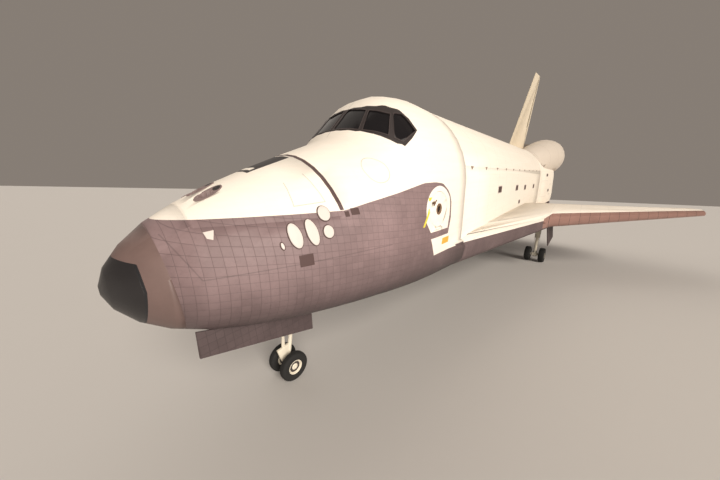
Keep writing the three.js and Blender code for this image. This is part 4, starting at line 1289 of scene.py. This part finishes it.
class ORBITER_OT_bay(bpy.types.Operator):
    """Build the payload bay's ribs, rails and radiators and the doors' hinges"""
    bl_idname = "orbiter.bay"
    bl_label = "Payload bay"

    def execute(self, context):
        felt, metal, brown = map(plain_finish, ("bay_felt", "bay_metal", "hinge_brown"))
        silver = radiator_finish()
        corners = [(-90.6, 416), *bay_arc(90.6, 90.6, range(-180, 1, 12)), (90.6, 416), (86, 416),
                   *bay_arc(86, 86, range(0, -181, -12)), (-86, 416)]
        rib = outline("bay_rib_0", [at(x, 614, z) for x, z in corners], "NGON")
        modify(rib, "SOLIDIFY", thickness=3 * INCH, offset=0)
        ease(rib, 0.4)
        for made in row_of(rib, "bay_rib_{}", 12, 59.5):
            done(made, "airframe", felt)
        rails = [block("bay_rail", (84, 592, 408), (90.4, 1298, 416), 0.6),
                 block("bay_step", (58, 592, 336), (64, 1298, 340), 0.6)]
        fix(metal, *[copy_of(rail, rail.name + "_starboard", flip=True) for rail in rails], *rails,
            block("bay_keel", (-5, 592, 312), (5, 1298, 317), 0.6))
        for side in BOTH:
            way = flank(side)
            points = bay_arc(97.6, 95.8, range(14, 80, 5)) + bay_arc(96.4, 94.6, range(79, 13, -5))
            panel = outline(f"radiator_0_{side}", [at(x * way, 600, z) for x, z in points], "NGON")
            edit(panel, pull(at(0, 168, 0) - at(0, 0, 0)), SELECT_ALL, FACE_OUT)
            ease(panel, 0.3)
            for made in row_of(panel, "radiator_{}_" + side, 4, 174):
                done(made, "bay_door_" + side, silver)
            x, z = SILL[0] * way, SILL[1]
            knuckle = merge(f"sill_hinge_0_{side}", rod("barrel", (x, 603, z), (x, 609, z), 1.15),
                            block("leaf", (101.2 * way, 604.5, 415.2), (102.52 * way, 607.5, 417.8), 0.1))
            fix(brown, *row_of(knuckle, "sill_hinge_{}_" + side, 11, 66.4))
        return {"FINISHED"}


class ORBITER_OT_covers(bpy.types.Operator):
    """Lay the covers, patches, vents and nose thrusters on the hull"""
    bl_idname = "orbiter.covers"
    bl_label = "Covers"

    def execute(self, context):
        shells = ("forward_fuselage_skin", "thruster_module_skin", "mid_fuselage_skin", "aft_fuselage_skin",
                  "bay_door_port_skin", "bay_door_starboard_skin")
        hull = merge("hull_form", *(copy_of(bpy.data.objects[shell], shell + "_form") for shell in shells))
        cream, brown, mauve, deep, yellow, orange = map(plain_finish, (
            "cover_cream", "patch_brown", "scoop_mauve", "throat_painted_shade", "marker_yellow", "label_orange"))

        def lay(name, corners, side, thick, material, slot="white_skin", **more):
            done(laid(name, corners, hull, side, thick, **more), "airframe", material)

        for side in BOTH:
            for i, (centre, radii, lean) in enumerate(COVERS):
                # painted shadow: a brown ring a little wider than each cover lies under it, as the shadow
                # round its edge
                wide = oval(centre, [r + 0.7 for r in radii], lean=lean)
                lay(f"cover_rim_{i}_{side}", wide, side, 0.3, brown, "black_tile")
                lay(f"cover_{i}_{side}", oval(centre, radii, lean=lean), side, 1.3, cream, bevel=0.3)
            for i, corners in enumerate(PATCHES):
                lay(f"patch_{i}_{side}", corners, side, 0.25, brown, "black_tile")
            for i, (station, height, half, tall) in enumerate(VENTS):
                wide = frame_of(station, height, half + 1.6, tall + 1.6)
                lay(f"vent_rim_{i}_{side}", wide, side, 0.35, cream)
                hole = frame_of(station, height, half, tall)
                lay(f"vent_{i}_{side}", hole, side, 0.55, brown, "black_tile")
        for i, x in enumerate((-15.5, 0, 15.5)):
            scoop, throat = oval((x, 310), (5.3, 9.8)), oval((x, 316), (3.0, 2.8))
            lay(f"front_thruster_{i}", scoop, "top", 0.5, mauve, "black_tile", cuts=7, lift=0.05)
            # painted shade: a near-black oval in each scoop stands for the shaded hole of the thruster's
            # throat
            lay(f"front_thruster_throat_{i}", throat, "top", 0.6, deep, "black_tile")
        lay("cover_plate_port", PLATE, "port", 0.4, cream)
        lay("handling_label", LABEL, "port", 0.3, orange)
        for i, corners in enumerate(MARKERS):
            lay(f"marker_{i}", corners, "port", 0.25, yellow)
        bpy.data.objects.remove(hull)
        return {"FINISHED"}


OPERATORS = (ORBITER_OT_stage, ORBITER_OT_fuselage, ORBITER_OT_wings, ORBITER_OT_engines,
             ORBITER_OT_gear, ORBITER_OT_cabin, ORBITER_OT_bay, ORBITER_OT_covers)


class ORBITER_PT_panel(bpy.types.Panel):
    """Lists the orbiter's building steps"""
    bl_idname = "ORBITER_PT_panel"
    bl_label = "Orbiter"
    bl_space_type = "VIEW_3D"
    bl_region_type = "UI"
    bl_category = "Orbiter"

    def draw(self, context):
        for group in ("orbiter_skin", "orbiter_stage"):
            settings = getattr(context.scene, group)
            for name in settings.__annotations__:
                self.layout.prop(settings, name)
        for step in OPERATORS:
            self.layout.operator(step.bl_idname)


CLASSES = (SkinSettings, StageSettings, *OPERATORS, ORBITER_PT_panel)


def register():
    for cls in CLASSES:
        bpy.utils.register_class(cls)
    bpy.types.Scene.orbiter_skin = PointerProperty(type=SkinSettings)
    bpy.types.Scene.orbiter_stage = PointerProperty(type=StageSettings)


def unregister():
    del bpy.types.Scene.orbiter_stage
    del bpy.types.Scene.orbiter_skin
    for cls in reversed(CLASSES):
        bpy.utils.unregister_class(cls)


def main():
    register()
    bpy.ops.object.select_all(action="DESELECT")
    bpy.ops.orbiter.stage()
    bpy.ops.orbiter.fuselage()
    bpy.ops.orbiter.wings()
    bpy.ops.orbiter.engines()
    bpy.ops.orbiter.gear()
    bpy.ops.orbiter.cabin()
    bpy.ops.orbiter.bay()
    bpy.ops.orbiter.covers()


if __name__ == "__main__":
    main()
